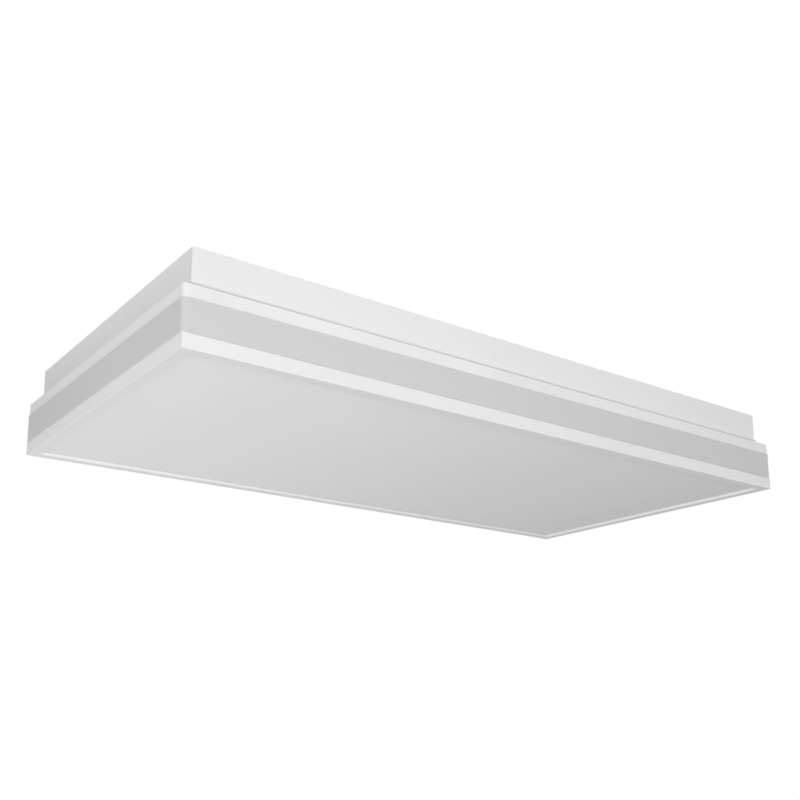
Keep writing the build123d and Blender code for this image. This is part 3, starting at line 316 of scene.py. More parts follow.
def carve(piece, tool):
    """Cuts a tool's shape out of a piece and removes the tool."""
    difference = piece.modifiers.new("cut", "BOOLEAN")
    difference.operation = "DIFFERENCE"
    difference.solver = "EXACT"
    difference.object = tool
    apply_modifier(piece, difference)
    bpy.data.objects.remove(tool, do_unlink=True)


def joined(name, pieces):
    """Several objects as one."""
    if len(pieces) > 1:
        bpy.ops.object.select_all(action="DESELECT")
        for piece in pieces:
            piece.select_set(True)
        bpy.context.view_layer.objects.active = pieces[0]
        bpy.ops.object.join()
    pieces[0].name = name
    return pieces[0]


def copied(piece, move, turn):
    """A copy with its own mesh, turned about the vertical through the origin, then moved."""
    double = piece.copy()
    double.data = piece.data.copy()
    bpy.context.collection.objects.link(double)
    double.data.transform(Matrix.Translation(move) @ Matrix.Rotation(turn, 4, "Z"))
    return double


def repeated(name, piece, places, turn_step=0.0):
    """One object of copies of a piece at several places, each turned a little further."""
    copies = [copied(piece, place, turn_step * n) for n, place in enumerate(places)]
    bpy.data.objects.remove(piece, do_unlink=True)
    return joined(name, copies)


def merged_copy(node, name):
    """A copy of a CAD node with its loose triangles merged into whole faces."""
    source = frame["nodes"][node]
    piece = source.copy()
    piece.data = source.data.copy()
    piece.name = name
    piece.parent = None
    bpy.context.collection.objects.link(piece)
    if "custom_normal" in piece.data.attributes:
        piece.data.attributes.remove(piece.data.attributes["custom_normal"])
    with editing(piece):
        bpy.ops.mesh.select_all(action="SELECT")
        bpy.ops.mesh.remove_doubles(threshold=WELD)
        bpy.ops.mesh.dissolve_limited(angle_limit=math.radians(FLAT_ANGLE))
    return piece


def solids_of(node):
    """Lowest and highest corners of each separate solid of a CAD node, in order of place."""
    mesh = bmesh.new()
    mesh.from_mesh(frame["nodes"][node].data)
    bmesh.ops.remove_doubles(mesh, verts=mesh.verts, dist=WELD)
    unseen = set(mesh.verts)
    boxes = []
    while unseen:
        reached = [unseen.pop()]
        corners = []
        while reached:
            vert = reached.pop()
            corners.append(vert.co.copy())
            for edge in vert.link_edges:
                other = edge.other_vert(vert)
                if other in unseen:
                    unseen.remove(other)
                    reached.append(other)
        low = Vector([min(c[axis] for c in corners) for axis in range(3)])
        high = Vector([max(c[axis] for c in corners) for axis in range(3)])
        boxes.append((low, high))
    mesh.free()
    return sorted(boxes, key=lambda pair: [round(value, 4) for value in pair[0]])


def stands_for(piece, node, material):
    """Lets a finished piece stand for a CAD node, with its body and one material.

    A piece that comes with its own materials is given None.
    """
    if material is not None:
        piece.data.materials.clear()
        piece.data.materials.append(material)
    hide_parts(node)
    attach(piece, BODY_OF[node])
    return piece


def second_finish(piece, material, test):
    """Gives the faces that pass a test a second material."""
    piece.data.materials.append(material)
    with editing(piece):
        select_faces(piece, test)
        piece.active_material_index = len(piece.data.materials) - 1
        bpy.ops.object.material_slot_assign()


# Material helpers

def shader_of(name):
    """New material with its node tree and its main shader."""
    material = bpy.data.materials.new(name)
    material.use_nodes = True
    tree = material.node_tree
    return material, tree, tree.nodes["Principled BSDF"]


def place_noise(tree, scale, detail=3.0, stretch=(1, 1, 1)):
    """Noise fixed to the object's own coordinates; its scale is in ripples to the metre."""
    where = tree.nodes.new("ShaderNodeTexCoord")
    mapping = tree.nodes.new("ShaderNodeMapping")
    mapping.inputs["Scale"].default_value = stretch
    noise = tree.nodes.new("ShaderNodeTexNoise")
    noise.inputs["Scale"].default_value = scale
    noise.inputs["Detail"].default_value = detail
    tree.links.new(where.outputs["Object"], mapping.inputs["Vector"])
    tree.links.new(mapping.outputs["Vector"], noise.inputs["Vector"])
    return noise.outputs["Fac"]


def between(tree, factor, first, second):
    """Colour that runs from one to another over the noise's usual reach."""
    ramp = tree.nodes.new("ShaderNodeValToRGB")
    for stop, place, colour in zip(ramp.color_ramp.elements, NOISE_REACH, (first, second)):
        stop.position = place
        stop.color = (*colour, 1)
    tree.links.new(factor, ramp.inputs["Fac"])
    return ramp.outputs["Color"]


def span(tree, factor, low, high):
    """Value that runs from low to high over the noise's usual reach."""
    reach = tree.nodes.new("ShaderNodeMapRange")
    reach.inputs["From Min"].default_value = NOISE_REACH[0]
    reach.inputs["From Max"].default_value = NOISE_REACH[1]
    reach.inputs["To Min"].default_value = low
    reach.inputs["To Max"].default_value = high
    tree.links.new(factor, reach.inputs["Value"])
    return reach.outputs["Result"]


def relief(tree, shader, height, strength, depth):
    """Bump of a given depth on the shader's normal."""
    bump = tree.nodes.new("ShaderNodeBump")
    bump.inputs["Strength"].default_value = strength
    bump.inputs["Distance"].default_value = depth
    tree.links.new(height, bump.inputs["Height"])
    tree.links.new(bump.outputs["Normal"], shader.inputs["Normal"])


def shaded(colour, share):
    """A colour made darker or lighter by a share."""
    return tuple(channel * share for channel in colour)


# Materials

def powder_coat(name, colour, roughness=0.42, level=0.35):
    """Fine powder coat: an even satin colour with a slight orange-peel skin."""
    material, tree, shader = shader_of(name)
    drift = place_noise(tree, scale=9.0)
    skin = place_noise(tree, scale=1400.0, detail=2.0)
    colours = between(tree, drift, shaded(colour, 0.985), shaded(colour, 1.01))
    tree.links.new(colours, shader.inputs["Base Color"])
    tree.links.new(span(tree, skin, roughness - 0.04, roughness + 0.05), shader.inputs["Roughness"])
    shader.inputs["Specular IOR Level"].default_value = level
    relief(tree, shader, skin, strength=0.12, depth=0.05 * MM)
    return material


def moulded(name, colour, roughness=0.45, grain=2600.0, level=0.4):
    """Moulded plastic with a fine spark-eroded grain."""
    material, tree, shader = shader_of(name)
    drift = place_noise(tree, scale=14.0)
    skin = place_noise(tree, scale=grain, detail=4.0)
    colours = between(tree, drift, shaded(colour, 0.97), shaded(colour, 1.02))
    tree.links.new(colours, shader.inputs["Base Color"])
    tree.links.new(span(tree, skin, roughness - 0.05, roughness + 0.08), shader.inputs["Roughness"])
    shader.inputs["Specular IOR Level"].default_value = level
    relief(tree, shader, skin, strength=0.18, depth=0.03 * MM)
    return material


def opal(name, colour, roughness, level):
    """Opal acrylic: milky, with a soft satin face and a faint cloudiness inside."""
    material, tree, shader = shader_of(name)
    cloud = place_noise(tree, scale=30.0, detail=2.0)
    skin = place_noise(tree, scale=3200.0, detail=2.0)
    colours = between(tree, cloud, shaded(colour, 0.995), shaded(colour, 1.005))
    tree.links.new(colours, shader.inputs["Base Color"])
    tree.links.new(span(tree, skin, roughness - 0.04, roughness + 0.04), shader.inputs["Roughness"])
    shader.inputs["Specular IOR Level"].default_value = level
    relief(tree, shader, skin, strength=0.06, depth=0.02 * MM)
    return material


def bright_metal(name, colour, roughness, stretch=(1, 1, 1)):
    """Plated or rolled metal, with a grain that can run one way."""
    material, tree, shader = shader_of(name)
    lines = place_noise(tree, scale=900.0, stretch=stretch)
    stain = place_noise(tree, scale=120.0)
    colours = between(tree, stain, shaded(colour, 0.9), colour)
    tree.links.new(colours, shader.inputs["Base Color"])
    gloss = span(tree, lines, roughness - 0.08, roughness + 0.12)
    tree.links.new(gloss, shader.inputs["Roughness"])
    shader.inputs["Metallic"].default_value = 1.0
    relief(tree, shader, lines, strength=0.15, depth=0.02 * MM)
    return material


def soft_rubber(name, colour):
    """Matte black rubber with pale dust on it."""
    material, tree, shader = shader_of(name)
    dust = place_noise(tree, scale=60.0, detail=5.0)
    skin = place_noise(tree, scale=1800.0)
    colours = between(tree, dust, colour, shaded(colour, 1.7))
    tree.links.new(colours, shader.inputs["Base Color"])
    tree.links.new(span(tree, dust, 0.62, 0.82), shader.inputs["Roughness"])
    shader.inputs["Specular IOR Level"].default_value = 0.3
    relief(tree, shader, skin, strength=0.3, depth=0.04 * MM)
    return material


def insulation(name, colour, stripe=None):
    """Extruded wire insulation, with a second colour in bands where it has one."""
    material, tree, shader = shader_of(name)
    drift = place_noise(tree, scale=80.0)
    plain = between(tree, drift, shaded(colour, 0.88), shaded(colour, 1.05))
    if stripe is None:
        tree.links.new(plain, shader.inputs["Base Color"])
    else:
        where = tree.nodes.new("ShaderNodeTexCoord")
        bands = tree.nodes.new("ShaderNodeTexWave")
        bands.bands_direction = "DIAGONAL"
        bands.inputs["Scale"].default_value = 55.0
        tree.links.new(where.outputs["Object"], bands.inputs["Vector"])
        edge = tree.nodes.new("ShaderNodeValToRGB")
        edge.color_ramp.interpolation = "CONSTANT"
        edge.color_ramp.elements[1].position = 0.5
        edge.color_ramp.elements[0].color = (*colour, 1)
        edge.color_ramp.elements[1].color = (*stripe, 1)
        tree.links.new(bands.outputs["Fac"], edge.inputs["Fac"])
        tree.links.new(edge.outputs["Color"], shader.inputs["Base Color"])
    tree.links.new(span(tree, drift, 0.34, 0.5), shader.inputs["Roughness"])
    return material


def white_board(name, colour):
    """Circuit board under a white mask: the copper below shows as faintly raised fields."""
    material, tree, shader = shader_of(name)
    drift = place_noise(tree, scale=60.0)
    where = tree.nodes.new("ShaderNodeTexCoord")
    axes = tree.nodes.new("ShaderNodeSeparateXYZ")
    tree.links.new(where.outputs["Object"], axes.inputs["Vector"])

    def step(operation, *values):
        """One sum, each of whose terms is a number or comes from another node."""
        node = tree.nodes.new("ShaderNodeMath")
        node.operation = operation
        for socket, value in zip(node.inputs, values):
            if isinstance(value, float):
                socket.default_value = value
            else:
                tree.links.new(value, socket)
        return node.outputs[0]

    def away(axis, pitch, first):
        """Distance along an axis from the nearest of a row of places."""
        wrapped = step("WRAP", axes.outputs[axis], first + pitch / 2, first - pitch / 2)
        return step("ABSOLUTE", step("SUBTRACT", wrapped, first))

    across = away("Y", BOARD_PITCH, BOARD_PITCH / 2)
    along = away("X", CHIP_PITCH, FIRST_CHIP)
    edge_gap = step("COMPARE", across, TRACK_EDGE, TRACK_GAP / 2)
    chip_gap = step("LESS_THAN", along, TRACK_GAP / 2)
    inside = step("LESS_THAN", across, TRACK_EDGE)
    gaps = step("MAXIMUM", edge_gap, step("MULTIPLY", chip_gap, inside))
    tone = between(tree, drift, shaded(colour, 0.98), shaded(colour, 1.01))
    mix = tree.nodes.new("ShaderNodeMix")
    mix.data_type = "RGBA"
    tree.links.new(gaps, mix.inputs["Factor"])
    tree.links.new(tone, mix.inputs["A"])
    mix.inputs["B"].default_value = (*shaded(colour, 0.84), 1)
    tree.links.new(mix.outputs["Result"], shader.inputs["Base Color"])
    tree.links.new(span(tree, drift, 0.3, 0.4), shader.inputs["Roughness"])
    relief(tree, shader, step("SUBTRACT", 1.0, gaps), strength=0.4, depth=0.04 * MM)
    return material


MATERIALS = {
    "housing_paint": powder_coat("housing_paint", (0.84, 0.84, 0.84), level=0.22),
    "tray_paint": powder_coat("tray_paint", (0.80, 0.80, 0.80), roughness=0.5),
    "rail_paint": powder_coat("rail_paint", (0.83, 0.83, 0.83), level=0.65),
    "frame_plastic": moulded("frame_plastic", (0.83, 0.83, 0.83), grain=1800.0, level=0.8),
    "band_opal": opal("band_opal", (0.63, 0.63, 0.63), 0.42, 0.25),
    "panel_opal": opal("panel_opal", (0.89, 0.89, 0.89), 0.6, 0.2),
    "cap_plastic": moulded("cap_plastic", (0.80, 0.80, 0.79)),
    "driver_plastic": moulded("driver_plastic", (0.74, 0.74, 0.73)),
    "terminal_plastic": moulded("terminal_plastic", (0.72, 0.72, 0.68)),
    "connector_plastic": moulded("connector_plastic", (0.80, 0.79, 0.75)),
    "button_plastic": moulded("button_plastic", (0.75, 0.22, 0.04)),
    "post_plastic": moulded("post_plastic", (0.78, 0.78, 0.77)),
    "grommet_rubber": soft_rubber("grommet_rubber", (0.025, 0.025, 0.025)),
    "zinc_screw": bright_metal("zinc_screw", (0.66, 0.67, 0.69), 0.28),
    "rivet_aluminium": bright_metal("rivet_aluminium", (0.76, 0.76, 0.78), 0.34),
    "contact_brass": bright_metal("contact_brass", (0.72, 0.53, 0.24), 0.3),
    "tinned_brass": bright_metal("tinned_brass", (0.68, 0.67, 0.64), 0.32),
    "magnet_nickel": bright_metal("magnet_nickel", (0.72, 0.70, 0.66), 0.14),
    "cup_steel": bright_metal("cup_steel", (0.60, 0.61, 0.63), 0.3),
    "key_steel": bright_metal("key_steel", (0.58, 0.59, 0.61), 0.33, stretch=(1, 12, 1)),
    "capacitor_can": moulded("capacitor_can", (0.03, 0.03, 0.06), 0.35),
    "ferrite": moulded("ferrite", (0.035, 0.035, 0.04), 0.7, grain=700.0),
    "circuit_board": moulded("circuit_board", (0.02, 0.16, 0.06), 0.35),
    "board_white": white_board("board_white", (0.84, 0.84, 0.82)),
    "led_chip": moulded("led_chip", (0.84, 0.83, 0.79), 0.3),
    "brown_insulation": insulation("brown_insulation", (0.13, 0.05, 0.02)),
    "blue_insulation": insulation("blue_insulation", (0.02, 0.08, 0.42)),
    "green_yellow_insulation": insulation(
        "green_yellow_insulation", (0.06, 0.33, 0.04), (0.78, 0.68, 0.04)
    ),
    "red_insulation": insulation("red_insulation", (0.52, 0.02, 0.015)),
    "black_insulation": insulation("black_insulation", (0.02, 0.02, 0.02)),
}
PHOSPHOR = moulded("phosphor_window", (0.86, 0.62, 0.12), 0.25)
# Painted shade: the bezel's underside is the rail paint made darker
BEZEL_PAINTED_SHADE = powder_coat("bezel_painted_shade", (0.765, 0.765, 0.765), level=0.5)
# Painted light: the lip's inner wall in the recess is the rail paint made lighter and glossier
LIP_PAINTED_LIGHT = powder_coat("lip_painted_light", (0.94, 0.94, 0.94), roughness=0.3)
# Grey of the tray's bare cut edge, made darker as painted shade along the joint with the frame
SHEARED_EDGE_AND_SHADE = powder_coat("sheared_edge_and_painted_shade", (0.69, 0.69, 0.69), roughness=0.5)
BOARD_CORE = moulded("board_core", (0.50, 0.44, 0.27), 0.6, grain=1500.0)


# Side band

def side_band():
    """Closed band drawn from a block: each end is stepped in to its tongue and its rim."""
    band = block(
        "opal_side_band",
        (-BAND_EDGE_X, -BAND_EDGE_Y, LOWER_RAIL_TOP),
        (BAND_EDGE_X, BAND_EDGE_Y, UPPER_RAIL_BOTTOM),
    )
    with editing(band):
        select_edges(band, lambda a, b: near(a.x, b.x) and near(a.y, b.y))
        bpy.ops.mesh.bevel(offset=BAND_CORNER, segments=BAND_CORNER_STEPS, affect="EDGES")
        ends = (
            (UPPER_RAIL_BOTTOM, BAND_TONGUE_TOP, 1.0),
            (LOWER_RAIL_TOP, BAND_TONGUE_BOTTOM, -1.0),
        )
        for face_height, tongue_height, way in ends:
            select_faces(band, lambda middle, normal: normal.z * way > FACING)
            draw_in(BAND_TONGUE_IN)
            raise_by(tongue_height - face_height)
            draw_in(BAND_TONGUE)
            raise_by(face_height - tongue_height - way * BAND_RIM)
            raise_by(-way * BAND_RIM_SLOPE)
            spread_selected(band, BAND_TONGUE_IN + BAND_TONGUE - BAND_WALL)
        select_faces(band, lambda middle, normal: abs(normal.z) > FACING and middle.xy.length < MM)
        bpy.ops.mesh.delete(type="ONLY_FACE")
        heights = (
            UPPER_RAIL_BOTTOM - BAND_RIM - BAND_RIM_SLOPE,
            LOWER_RAIL_TOP + BAND_RIM + BAND_RIM_SLOPE,
        )
        select_edges(band, lambda a, b: any(near(a.z, h) and near(b.z, h) for h in heights))
        bpy.ops.mesh.bridge_edge_loops()
        outer_heights = (UPPER_RAIL_BOTTOM, LOWER_RAIL_TOP)
        select_edges(
            band,
            lambda a, b: any(near(a.z, h) and near(b.z, h) for h in outer_heights)
            and on_outline(a) and on_outline(b),
        )
        bpy.ops.mesh.bevel(offset=BAND_EDGE_ROUND, segments=4, affect="EDGES")
        bpy.ops.mesh.select_all(action="SELECT")
        bpy.ops.mesh.normals_make_consistent(inside=False)
    smooth(band, angle=30)
    stands_for(band, "side_band", MATERIALS["band_opal"])


def on_outline(point):
    """Whether a point lies on the band's outer outline, corners included."""
    x = abs(point.x) - (BAND_EDGE_X - BAND_CORNER)
    y = abs(point.y) - (BAND_EDGE_Y - BAND_CORNER)
    if x > 0 and y > 0:
        return near(math.hypot(x, y), BAND_CORNER, SAME_CURVE)
    return near(max(x, y), BAND_CORNER)


def spread_selected(piece, amount):
    """Moves the selected face's corners outwards, each along the outline's own normal."""
    mesh = bmesh.from_edit_mesh(piece.data)
    face = next(f for f in mesh.faces if f.select)
    corners = [loop.vert for loop in face.loops]
    moves = []
    for here in range(len(corners)):
        before = corners[here].co - corners[here - 1].co
        after = corners[(here + 1) % len(corners)].co - corners[here].co
        first = Vector((before.y, -before.x, 0)).normalized()
        second = Vector((after.y, -after.x, 0)).normalized()
        middle = (first + second).normalized()
        if middle.dot(corners[here].co) < 0:
            middle = -middle
        moves.append(middle * amount / abs(middle.dot(first)))
    for vert, move in zip(corners, moves):
        vert.co += move
    bmesh.update_edit_mesh(piece.data)


# Lower rails

def lower_rail(name, half_length, edge):
    """One mitred length of the lower frame along X, drawn as the extrusion is made."""
    rail = block(
        name,
        (-half_length, -edge, BOTTOM),
        (half_length, -edge + BEZEL_WIDTH, BOTTOM + BEZEL_SKIN),
    )
    inner_wall = -edge + RAIL_WALL
    lip = -edge + BEZEL_WIDTH - BEZEL_LIP
    with editing(rail):
        cut_across((0, inner_wall, 0), (0, 1, 0))
        cut_across((0, lip, 0), (0, 1, 0))
        select_faces(rail, lambda middle, normal: normal.z > FACING and middle.y < inner_wall)
        raise_by(LOWER_RAIL_TOP - BOTTOM - BEZEL_SKIN)
        select_faces(rail, lambda middle, normal: normal.z > FACING and middle.y > lip)
        raise_by(PANEL_RECESS - BEZEL_SKIN)
        shelves = (
            (SHELF_LOW, SHELF_HIGH, SHELF_REACH),
            (TOP_SHELF_LOW, TOP_SHELF_HIGH, TOP_SHELF_REACH),
        )
        for low, high, reach in shelves:
            cut_across((0, 0, BOTTOM + low), (0, 0, 1))
            cut_across((0, 0, BOTTOM + high), (0, 0, 1))
            select_faces(
                rail,
                lambda middle, normal: normal.y > FACING
                and near(middle.y, inner_wall)
                and BOTTOM + low < middle.z < BOTTOM + high,
            )
            push(y=reach)
        edges = (
            (-edge, BOTTOM, RAIL_EDGE_ROUND),
            (-edge + BEZEL_WIDTH, BOTTOM, LIP_EDGE_ROUND),
            (-edge, LOWER_RAIL_TOP, SEAM_EDGE_ROUND),
        )
        for y, z, radius in edges:
            select_edges(
                rail,
                lambda a, b: near(a.y, y) and near(b.y, y) and near(a.z, z) and near(b.z, z),
            )
            bpy.ops.mesh.bevel(offset=radius, segments=4, affect="EDGES")
        for side in (-1, 1):
            corner = (side * half_length, -edge, 0)
            cut_across(corner, (side, 1, 0), clear_outer=True, fill=True)
        bpy.ops.mesh.select_all(action="SELECT")
        bpy.ops.mesh.normals_make_consistent(inside=False)
    return rail


def lower_rails():
    """Four mitred lengths with three finishes: the rail paint, painted light on the lip's inner
    wall and painted shade on the bezel's underside.
    """
    sides = (
        ("front", EDGE_X, EDGE_Y, 0),
        ("right", EDGE_Y, EDGE_X, 90),
        ("back", EDGE_X, EDGE_Y, 180),
        ("left", EDGE_Y, EDGE_X, 270),
    )
    for side, half_length, edge, turn in sides:
        rail = lower_rail(f"frame_rail_{side}", half_length, edge)
        smooth(rail, SHARP_ANGLE)
        stands_for(rail, f"lower_rail_{side}", MATERIALS["rail_paint"])
        lip_face = -edge + BEZEL_WIDTH
        # The lip's inner wall gets painted light, a lighter copy of the rail paint
        second_finish(rail, LIP_PAINTED_LIGHT, lambda middle, normal: near(middle.y, lip_face))
        # The bezel's underside gets painted shade, a darker copy of the rail paint
        second_finish(rail, BEZEL_PAINTED_SHADE, lambda middle, normal: near(middle.z, BOTTOM))
        rail.data.transform(Matrix.Rotation(math.radians(turn), 4, "Z"))


# Panel

def diffuser_panel():
    """Opal sheet whose sawn edges are just broken."""
    low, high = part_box("diffuser_panel")
    panel = block("opal_panel", low, high)
    round_edges(panel, PANEL_EDGE_ROUND, segments=3)
    smooth(panel, SHARP_ANGLE)
    stands_for(panel, "diffuser_panel", MATERIALS["panel_opal"])


# Pieces that keep the CAD's shape: each has its name and, where its edges are broken, their
# radius and how many steps round them

REFINED = {
    "ceiling_pan": ("housing_pan",),
    "upper_frame": ("moulded_upper_frame", 0.3 * MM, 3),
    "cable_grommet": ("supply_grommet", 0.35 * MM, 3),
    "lead_grommet": ("lead_bush", 0.25 * MM, 3),
    "terminal_block": ("push_in_terminal", 0.25 * MM),
    "terminal_contacts": ("clamp_sleeves",),
    "terminal_cover": ("service_cap", 0.25 * MM),
    "driver_case": ("supply_case", 0.3 * MM),
    "driver_lid": ("supply_lid", 0.3 * MM),
    "driver_board": ("supply_board",),
    "driver_transformer": ("supply_transformer", 0.2 * MM),
    "driver_capacitors": ("supply_capacitors", 0.5 * MM, 3),
    "magnets": ("disc_magnets", 0.3 * MM, 3),
    "magnet_cups": ("steel_cups", 0.15 * MM),
    "corner_keys": ("corner_angle_keys", 0.15 * MM),
    "corner_posts": ("threaded_posts", 0.3 * MM),
    "earth_tag": ("ring_tag", 0.1 * MM),
    "live_lead": ("live_wire",),
    "neutral_lead": ("neutral_wire",),
    "earth_lead": ("earth_wire",),
    "output_leads_red": ("output_wires_red",),
    "output_leads_black": ("output_wires_black",),
    "jumpers_red": ("board_wires_red",),
    "jumpers_black": ("board_wires_black",),
    "release_button_1": ("push_button_1", 0.2 * MM),
    "release_button_2": ("push_button_2", 0.2 * MM),
    "release_button_3": ("push_button_3", 0.2 * MM),
}


def refined(node, name, edge_radius=0.0, segments=2):
    """A CAD node's own shape as a piece: edges rounded where there is a radius, then smoothed."""
    piece = merged_copy(node, name)
    if edge_radius:
        round_edges(piece, edge_radius, segments)
    smooth(piece, SHARP_ANGLE)
    return stands_for(piece, node, MATERIALS[SLOT_OF[node]])


def led_tray():
    """Flat plate whose sheared outer edge is greyer: partly the bare cut edge, partly painted shade
    along the joint with the frame.
    """
    tray = refined("led_tray", "steel_tray", TRAY_EDGE_ROUND)
    rim_x, rim_y = (side - TRAY_EDGE_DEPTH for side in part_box("led_tray")[1].xy)
    # The outer edge gets the grey of a bare cut edge together with painted shade for the joint line
    second_finish(
        tray, SHEARED_EDGE_AND_SHADE, lambda middle, normal: abs(middle.x) > rim_x or abs(middle.y) > rim_y
    )


def led_board(number):
    """White board whose cut sides show its core."""
    board = refined(f"led_board_{number}", f"light_board_{number}", BOARD_EDGE_ROUND)
    second_finish(board, BOARD_CORE, lambda middle, normal: abs(normal.z) < CUT_SIDE)


# Small hardware

def carve_cross(screw, low, high):
    """Cuts a cross recess into a screw's head between two heights."""
    for turn in (0, 90):
        arm = block(
            "arm",
            (-CROSS_LENGTH / 2, -CROSS_WIDTH / 2, low),
            (CROSS_LENGTH / 2, CROSS_WIDTH / 2, high),
        )
        arm.data.transform(Matrix.Rotation(math.radians(turn), 4, "Z"))
        carve(screw, arm)


def cross_head_screw(length):
    """Round-headed screw, head down, with the seat of its head at height 0."""
    screw = rod("screw", SCREW_HEAD_RADIUS, -SCREW_HEAD_HEIGHT, 0)
    with editing(screw):
        select_edges(screw, lambda a, b: near(a.z, -SCREW_HEAD_HEIGHT) and near(b.z, a.z))
        bpy.ops.mesh.bevel(offset=SCREW_HEAD_ROUND, segments=5, affect="EDGES")
        select_faces(screw, lambda middle, normal: normal.z > FACING)
        draw_in(SCREW_HEAD_RADIUS - SCREW_SHANK_RADIUS)
        raise_by(length)
    carve_cross(screw, -SCREW_HEAD_HEIGHT - MM, -SCREW_HEAD_HEIGHT + CROSS_DEPTH)
    smooth(screw, angle=30)
    return screw


def flat_head_screw(length, turned_over):
    """Countersunk screw with its flat head at height 0, facing up unless it is turned over."""
    taper = SCREW_HEAD_RADIUS - SCREW_SHANK_RADIUS
    screw = rod("screw", SCREW_SHANK_RADIUS, -length, -taper)
    with editing(screw):
        select_faces(screw, lambda middle, normal: normal.z > FACING)
        raise_by(taper)
        bpy.ops.transform.resize(value=(SCREW_HEAD_RADIUS / SCREW_SHANK_RADIUS,) * 2 + (1,))
    carve_cross(screw, -CROSS_DEPTH, MM)
    if turned_over:
        screw.data.transform(Matrix.Rotation(math.pi, 4, "X"))
    smooth(screw, angle=30)
    return screw


def seat_of(low, high, height=0.0):
    """Place at a given height on the upright axis through the middle of a solid's box."""
    middle = (low + high) / 2
    return Vector((middle.x, middle.y, height))


def round_headed_screws(name, node):
    """Stands for a node of round-headed screws, each as long as its CAD solid."""
    screws = []
    for number, (low, high) in enumerate(solids_of(node)):
        screw = cross_head_screw(high.z - low.z - SCREW_HEAD_HEIGHT)
        place = seat_of(low, high, low.z + SCREW_HEAD_HEIGHT)
        screws.append(copied(screw, place, SCREW_TURN * number))
        bpy.data.objects.remove(screw, do_unlink=True)
    stands_for(joined(name, screws), node, MATERIALS["zinc_screw"])


def post_screws():
    """Countersunk screws at both ends of the posts."""
    lowest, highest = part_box("post_screws")
    middle_height = (lowest.z + highest.z) / 2
    screws = []
    for number, (low, high) in enumerate(solids_of("post_screws")):
        upper = low.z > middle_height
        screw = flat_head_screw(high.z - low.z, turned_over=not upper)
        place = seat_of(low, high, high.z if upper else low.z)
        screws.append(copied(screw, place, POST_SCREW_TURN * number))
        bpy.data.objects.remove(screw, do_unlink=True)
    stands_for(joined("post_end_screws", screws), "post_screws", MATERIALS["zinc_screw"])


def board_rivets():
    """Blind rivets: a domed head with the stem's bore in its middle."""
    solids = solids_of("board_rivets")
    low, high = solids[0]
    head_seat = low.z + RIVET_HEAD_HEIGHT
    rivet = rod("rivet", RIVET_HEAD_RADIUS, low.z, head_seat)
    with editing(rivet):
        select_edges(rivet, lambda a, b: near(a.z, low.z) and near(b.z, low.z))
        bpy.ops.mesh.bevel(offset=RIVET_HEAD_ROUND, segments=4, affect="EDGES")
        select_faces(rivet, lambda middle, normal: normal.z < -FACING)
        draw_in(RIVET_HEAD_RADIUS - RIVET_HEAD_ROUND - RIVET_BORE_RADIUS)
        draw_in(RIVET_BORE_RIM)
        raise_by(RIVET_BORE_DEPTH)
        select_faces(rivet, lambda middle, normal: normal.z > FACING and near(middle.z, head_seat))
        draw_in(RIVET_HEAD_RADIUS - RIVET_SHANK_RADIUS)
        raise_by(high.z - head_seat - RIVET_TAIL_HEIGHT)
        draw_in(-RIVET_TAIL_FLARE)
        raise_by(RIVET_TAIL_HEIGHT)
    smooth(rivet, angle=35)
    places = [seat_of(low, high) for low, high in solids]
    rivets = repeated("blind_rivets", rivet, places, turn_step=RIVET_TURN)
    stands_for(rivets, "board_rivets", MATERIALS["rivet_aluminium"])


def led_chips(number):
    """White packages, each with a sunk phosphor window."""
    node = f"led_chips_{number}"
    solids = solids_of(node)
    low, high = solids[0]
    half = (high - low) / 2
    chip = block("chip", (-half.x, -half.y, low.z), (half.x, half.y, high.z))
    chip.data.materials.append(MATERIALS["led_chip"])
    chip.data.materials.append(PHOSPHOR)
    with editing(chip):
        select_edges(chip, lambda a, b: near(a.x, b.x) and near(a.y, b.y))
        bpy.ops.mesh.bevel(offset=CHIP_CORNER, segments=2, affect="EDGES")
        select_faces(chip, lambda middle, normal: normal.z < -FACING)
        draw_in(CHIP_RIM)
        draw_in(CHIP_WINDOW_SLOPE, depth=-CHIP_WINDOW_DEPTH)
        chip.active_material_index = 1
        bpy.ops.object.material_slot_assign()
    smooth(chip, angle=30)
    places = [seat_of(low, high) for low, high in solids]
    chips = repeated(f"light_chips_{number}", chip, places)
    stands_for(chips, node, None)


def board_connectors():
    """Two-pole connectors with a wire hole right through and a release slot for each pole."""
    solids = solids_of("board_connectors")
    low, high = solids[0]
    half = (high - low) / 2
    body = block("connector", (-half.x, -half.y, low.z), (half.x, half.y, high.z))
    round_edges(body, CONNECTOR_ROUND, segments=3)
    middle_height = (low.z + high.z) / 2
    for side in (-1, 1):
        x = side * POLE_OFFSET
        hole = rod("hole", WIRE_HOLE_RADIUS, -half.y * 2, half.y * 2, sides=24)
        hole.data.transform(
            Matrix.Translation((x, 0, middle_height)) @ Matrix.Rotation(math.pi / 2, 4, "X")
        )
        carve(body, hole)
        for end in (-1, 1):
            y = end * SLOT_OFFSET
            slot = block(
                "slot",
                (x - SLOT_HALF_LENGTH, y - SLOT_HALF_WIDTH, low.z - MM),
                (x + SLOT_HALF_LENGTH, y + SLOT_HALF_WIDTH, low.z + SLOT_DEPTH),
            )
            carve(body, slot)
    smooth(body, angle=35)
    places = [seat_of(low, high) for low, high in solids]
    connectors = repeated("wire_connectors", body, places)
    stands_for(connectors, "board_connectors", MATERIALS["connector_plastic"])


# Stage: camera, floor, light

def set_camera():
    """The photograph's view, made level by a shift of the lens."""
    data = bpy.data.cameras.new("photo_camera")
    data.lens = CAMERA_LENS
    data.sensor_width = CAMERA_SENSOR
    data.shift_y = CAMERA_SHIFT
    data.clip_start = CAMERA_NEAR_LIMIT
    camera = bpy.data.objects.new("photo_camera", data)
    camera.location = CAMERA_PLACE
    camera.rotation_euler = (
        math.radians(90 + CAMERA_PITCH), 0, math.radians(CAMERA_HEADING - 90)
    )
    bpy.context.collection.objects.link(camera)
    bpy.context.scene.camera = camera


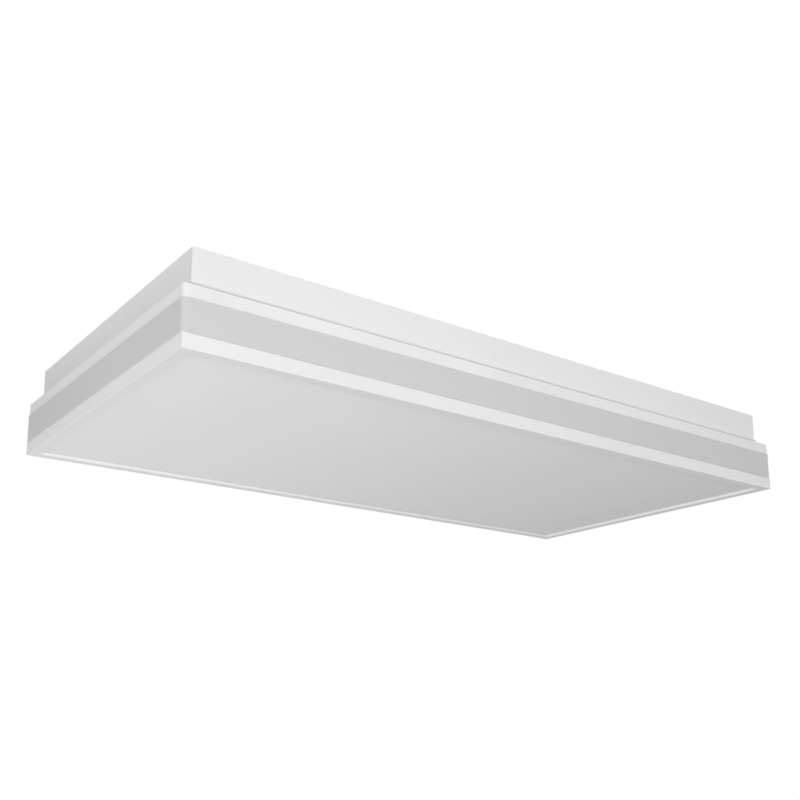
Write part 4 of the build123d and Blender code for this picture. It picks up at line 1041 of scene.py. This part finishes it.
def seen_directly(tree):
    """1 for the camera's rays and for those that a gloss or a clear piece sends on."""
    path = tree.nodes.new("ShaderNodeLightPath")
    seen = path.outputs["Is Camera Ray"]
    for kind in ("Is Glossy Ray", "Is Transmission Ray"):
        either = tree.nodes.new("ShaderNodeMath")
        either.operation = "MAXIMUM"
        tree.links.new(seen, either.inputs[0])
        tree.links.new(path.outputs[kind], either.inputs[1])
        seen = either.outputs[0]
    return seen


def world_light():
    """Even white surroundings: full white to the camera and in reflections, softer as light."""
    world = bpy.data.worlds.new("white_room")
    bpy.context.scene.world = world
    world.use_nodes = True
    tree = world.node_tree
    background = tree.nodes["Background"]
    strength = tree.nodes.new("ShaderNodeMapRange")
    strength.inputs["To Min"].default_value = AMBIENT
    strength.inputs["To Max"].default_value = 1.0
    tree.links.new(seen_directly(tree), strength.inputs["Value"])
    tree.links.new(strength.outputs["Result"], background.inputs["Strength"])
    background.inputs["Color"].default_value = (1, 1, 1, 1)


def floor():
    """Matte floor far below the light, which the camera sees as white."""
    bpy.ops.object.select_all(action="DESELECT")
    bpy.ops.mesh.primitive_plane_add(size=FLOOR_SIZE, location=(0, 0, FLOOR_HEIGHT))
    plane = bpy.context.object
    plane.name = "studio_floor"
    material = bpy.data.materials.new("floor_white")
    material.use_nodes = True
    tree = material.node_tree
    tree.nodes.remove(tree.nodes["Principled BSDF"])
    matte = tree.nodes.new("ShaderNodeBsdfDiffuse")
    matte.inputs["Color"].default_value = (FLOOR_COLOUR,) * 3 + (1,)
    lift = tree.nodes.new("ShaderNodeMath")
    lift.operation = "MULTIPLY"
    lift.inputs[1].default_value = FLOOR_LIFT
    tree.links.new(seen_directly(tree), lift.inputs[0])
    glow = tree.nodes.new("ShaderNodeEmission")
    tree.links.new(lift.outputs[0], glow.inputs["Strength"])
    both = tree.nodes.new("ShaderNodeAddShader")
    tree.links.new(matte.outputs[0], both.inputs[0])
    tree.links.new(glow.outputs[0], both.inputs[1])
    tree.links.new(both.outputs[0], tree.nodes["Material Output"].inputs["Surface"])
    plane.data.materials.append(material)


def area_light(name, place, aim, size, power):
    """Round soft lamp that can't itself be seen or reflected."""
    data = bpy.data.lights.new(name, "AREA")
    data.shape = "DISK"
    data.size = size
    data.energy = power
    lamp = bpy.data.objects.new(name, data)
    lamp.location = place
    lamp.rotation_euler = (Vector(aim) - Vector(place)).to_track_quat("-Z", "Y").to_euler()
    lamp.visible_camera = False
    lamp.visible_glossy = False
    bpy.context.collection.objects.link(lamp)


set_camera()
side_band()
lower_rails()
diffuser_panel()
for node, how in REFINED.items():
    refined(node, *how)
led_tray()
for number in BOARDS:
    led_board(number)
round_headed_screws("tray_fixings", "tray_screws")
round_headed_screws("pan_fixings", "pan_screws")
round_headed_screws("earth_fixing", "earth_screw")
post_screws()
board_rivets()
board_connectors()
for number in BOARDS:
    led_chips(number)
world_light()
floor()
for lamp, (place, aim, size, power) in LAMPS.items():
    area_light(lamp, place, aim, size, power)

scene = bpy.context.scene
scene.view_settings.view_transform = "Standard"
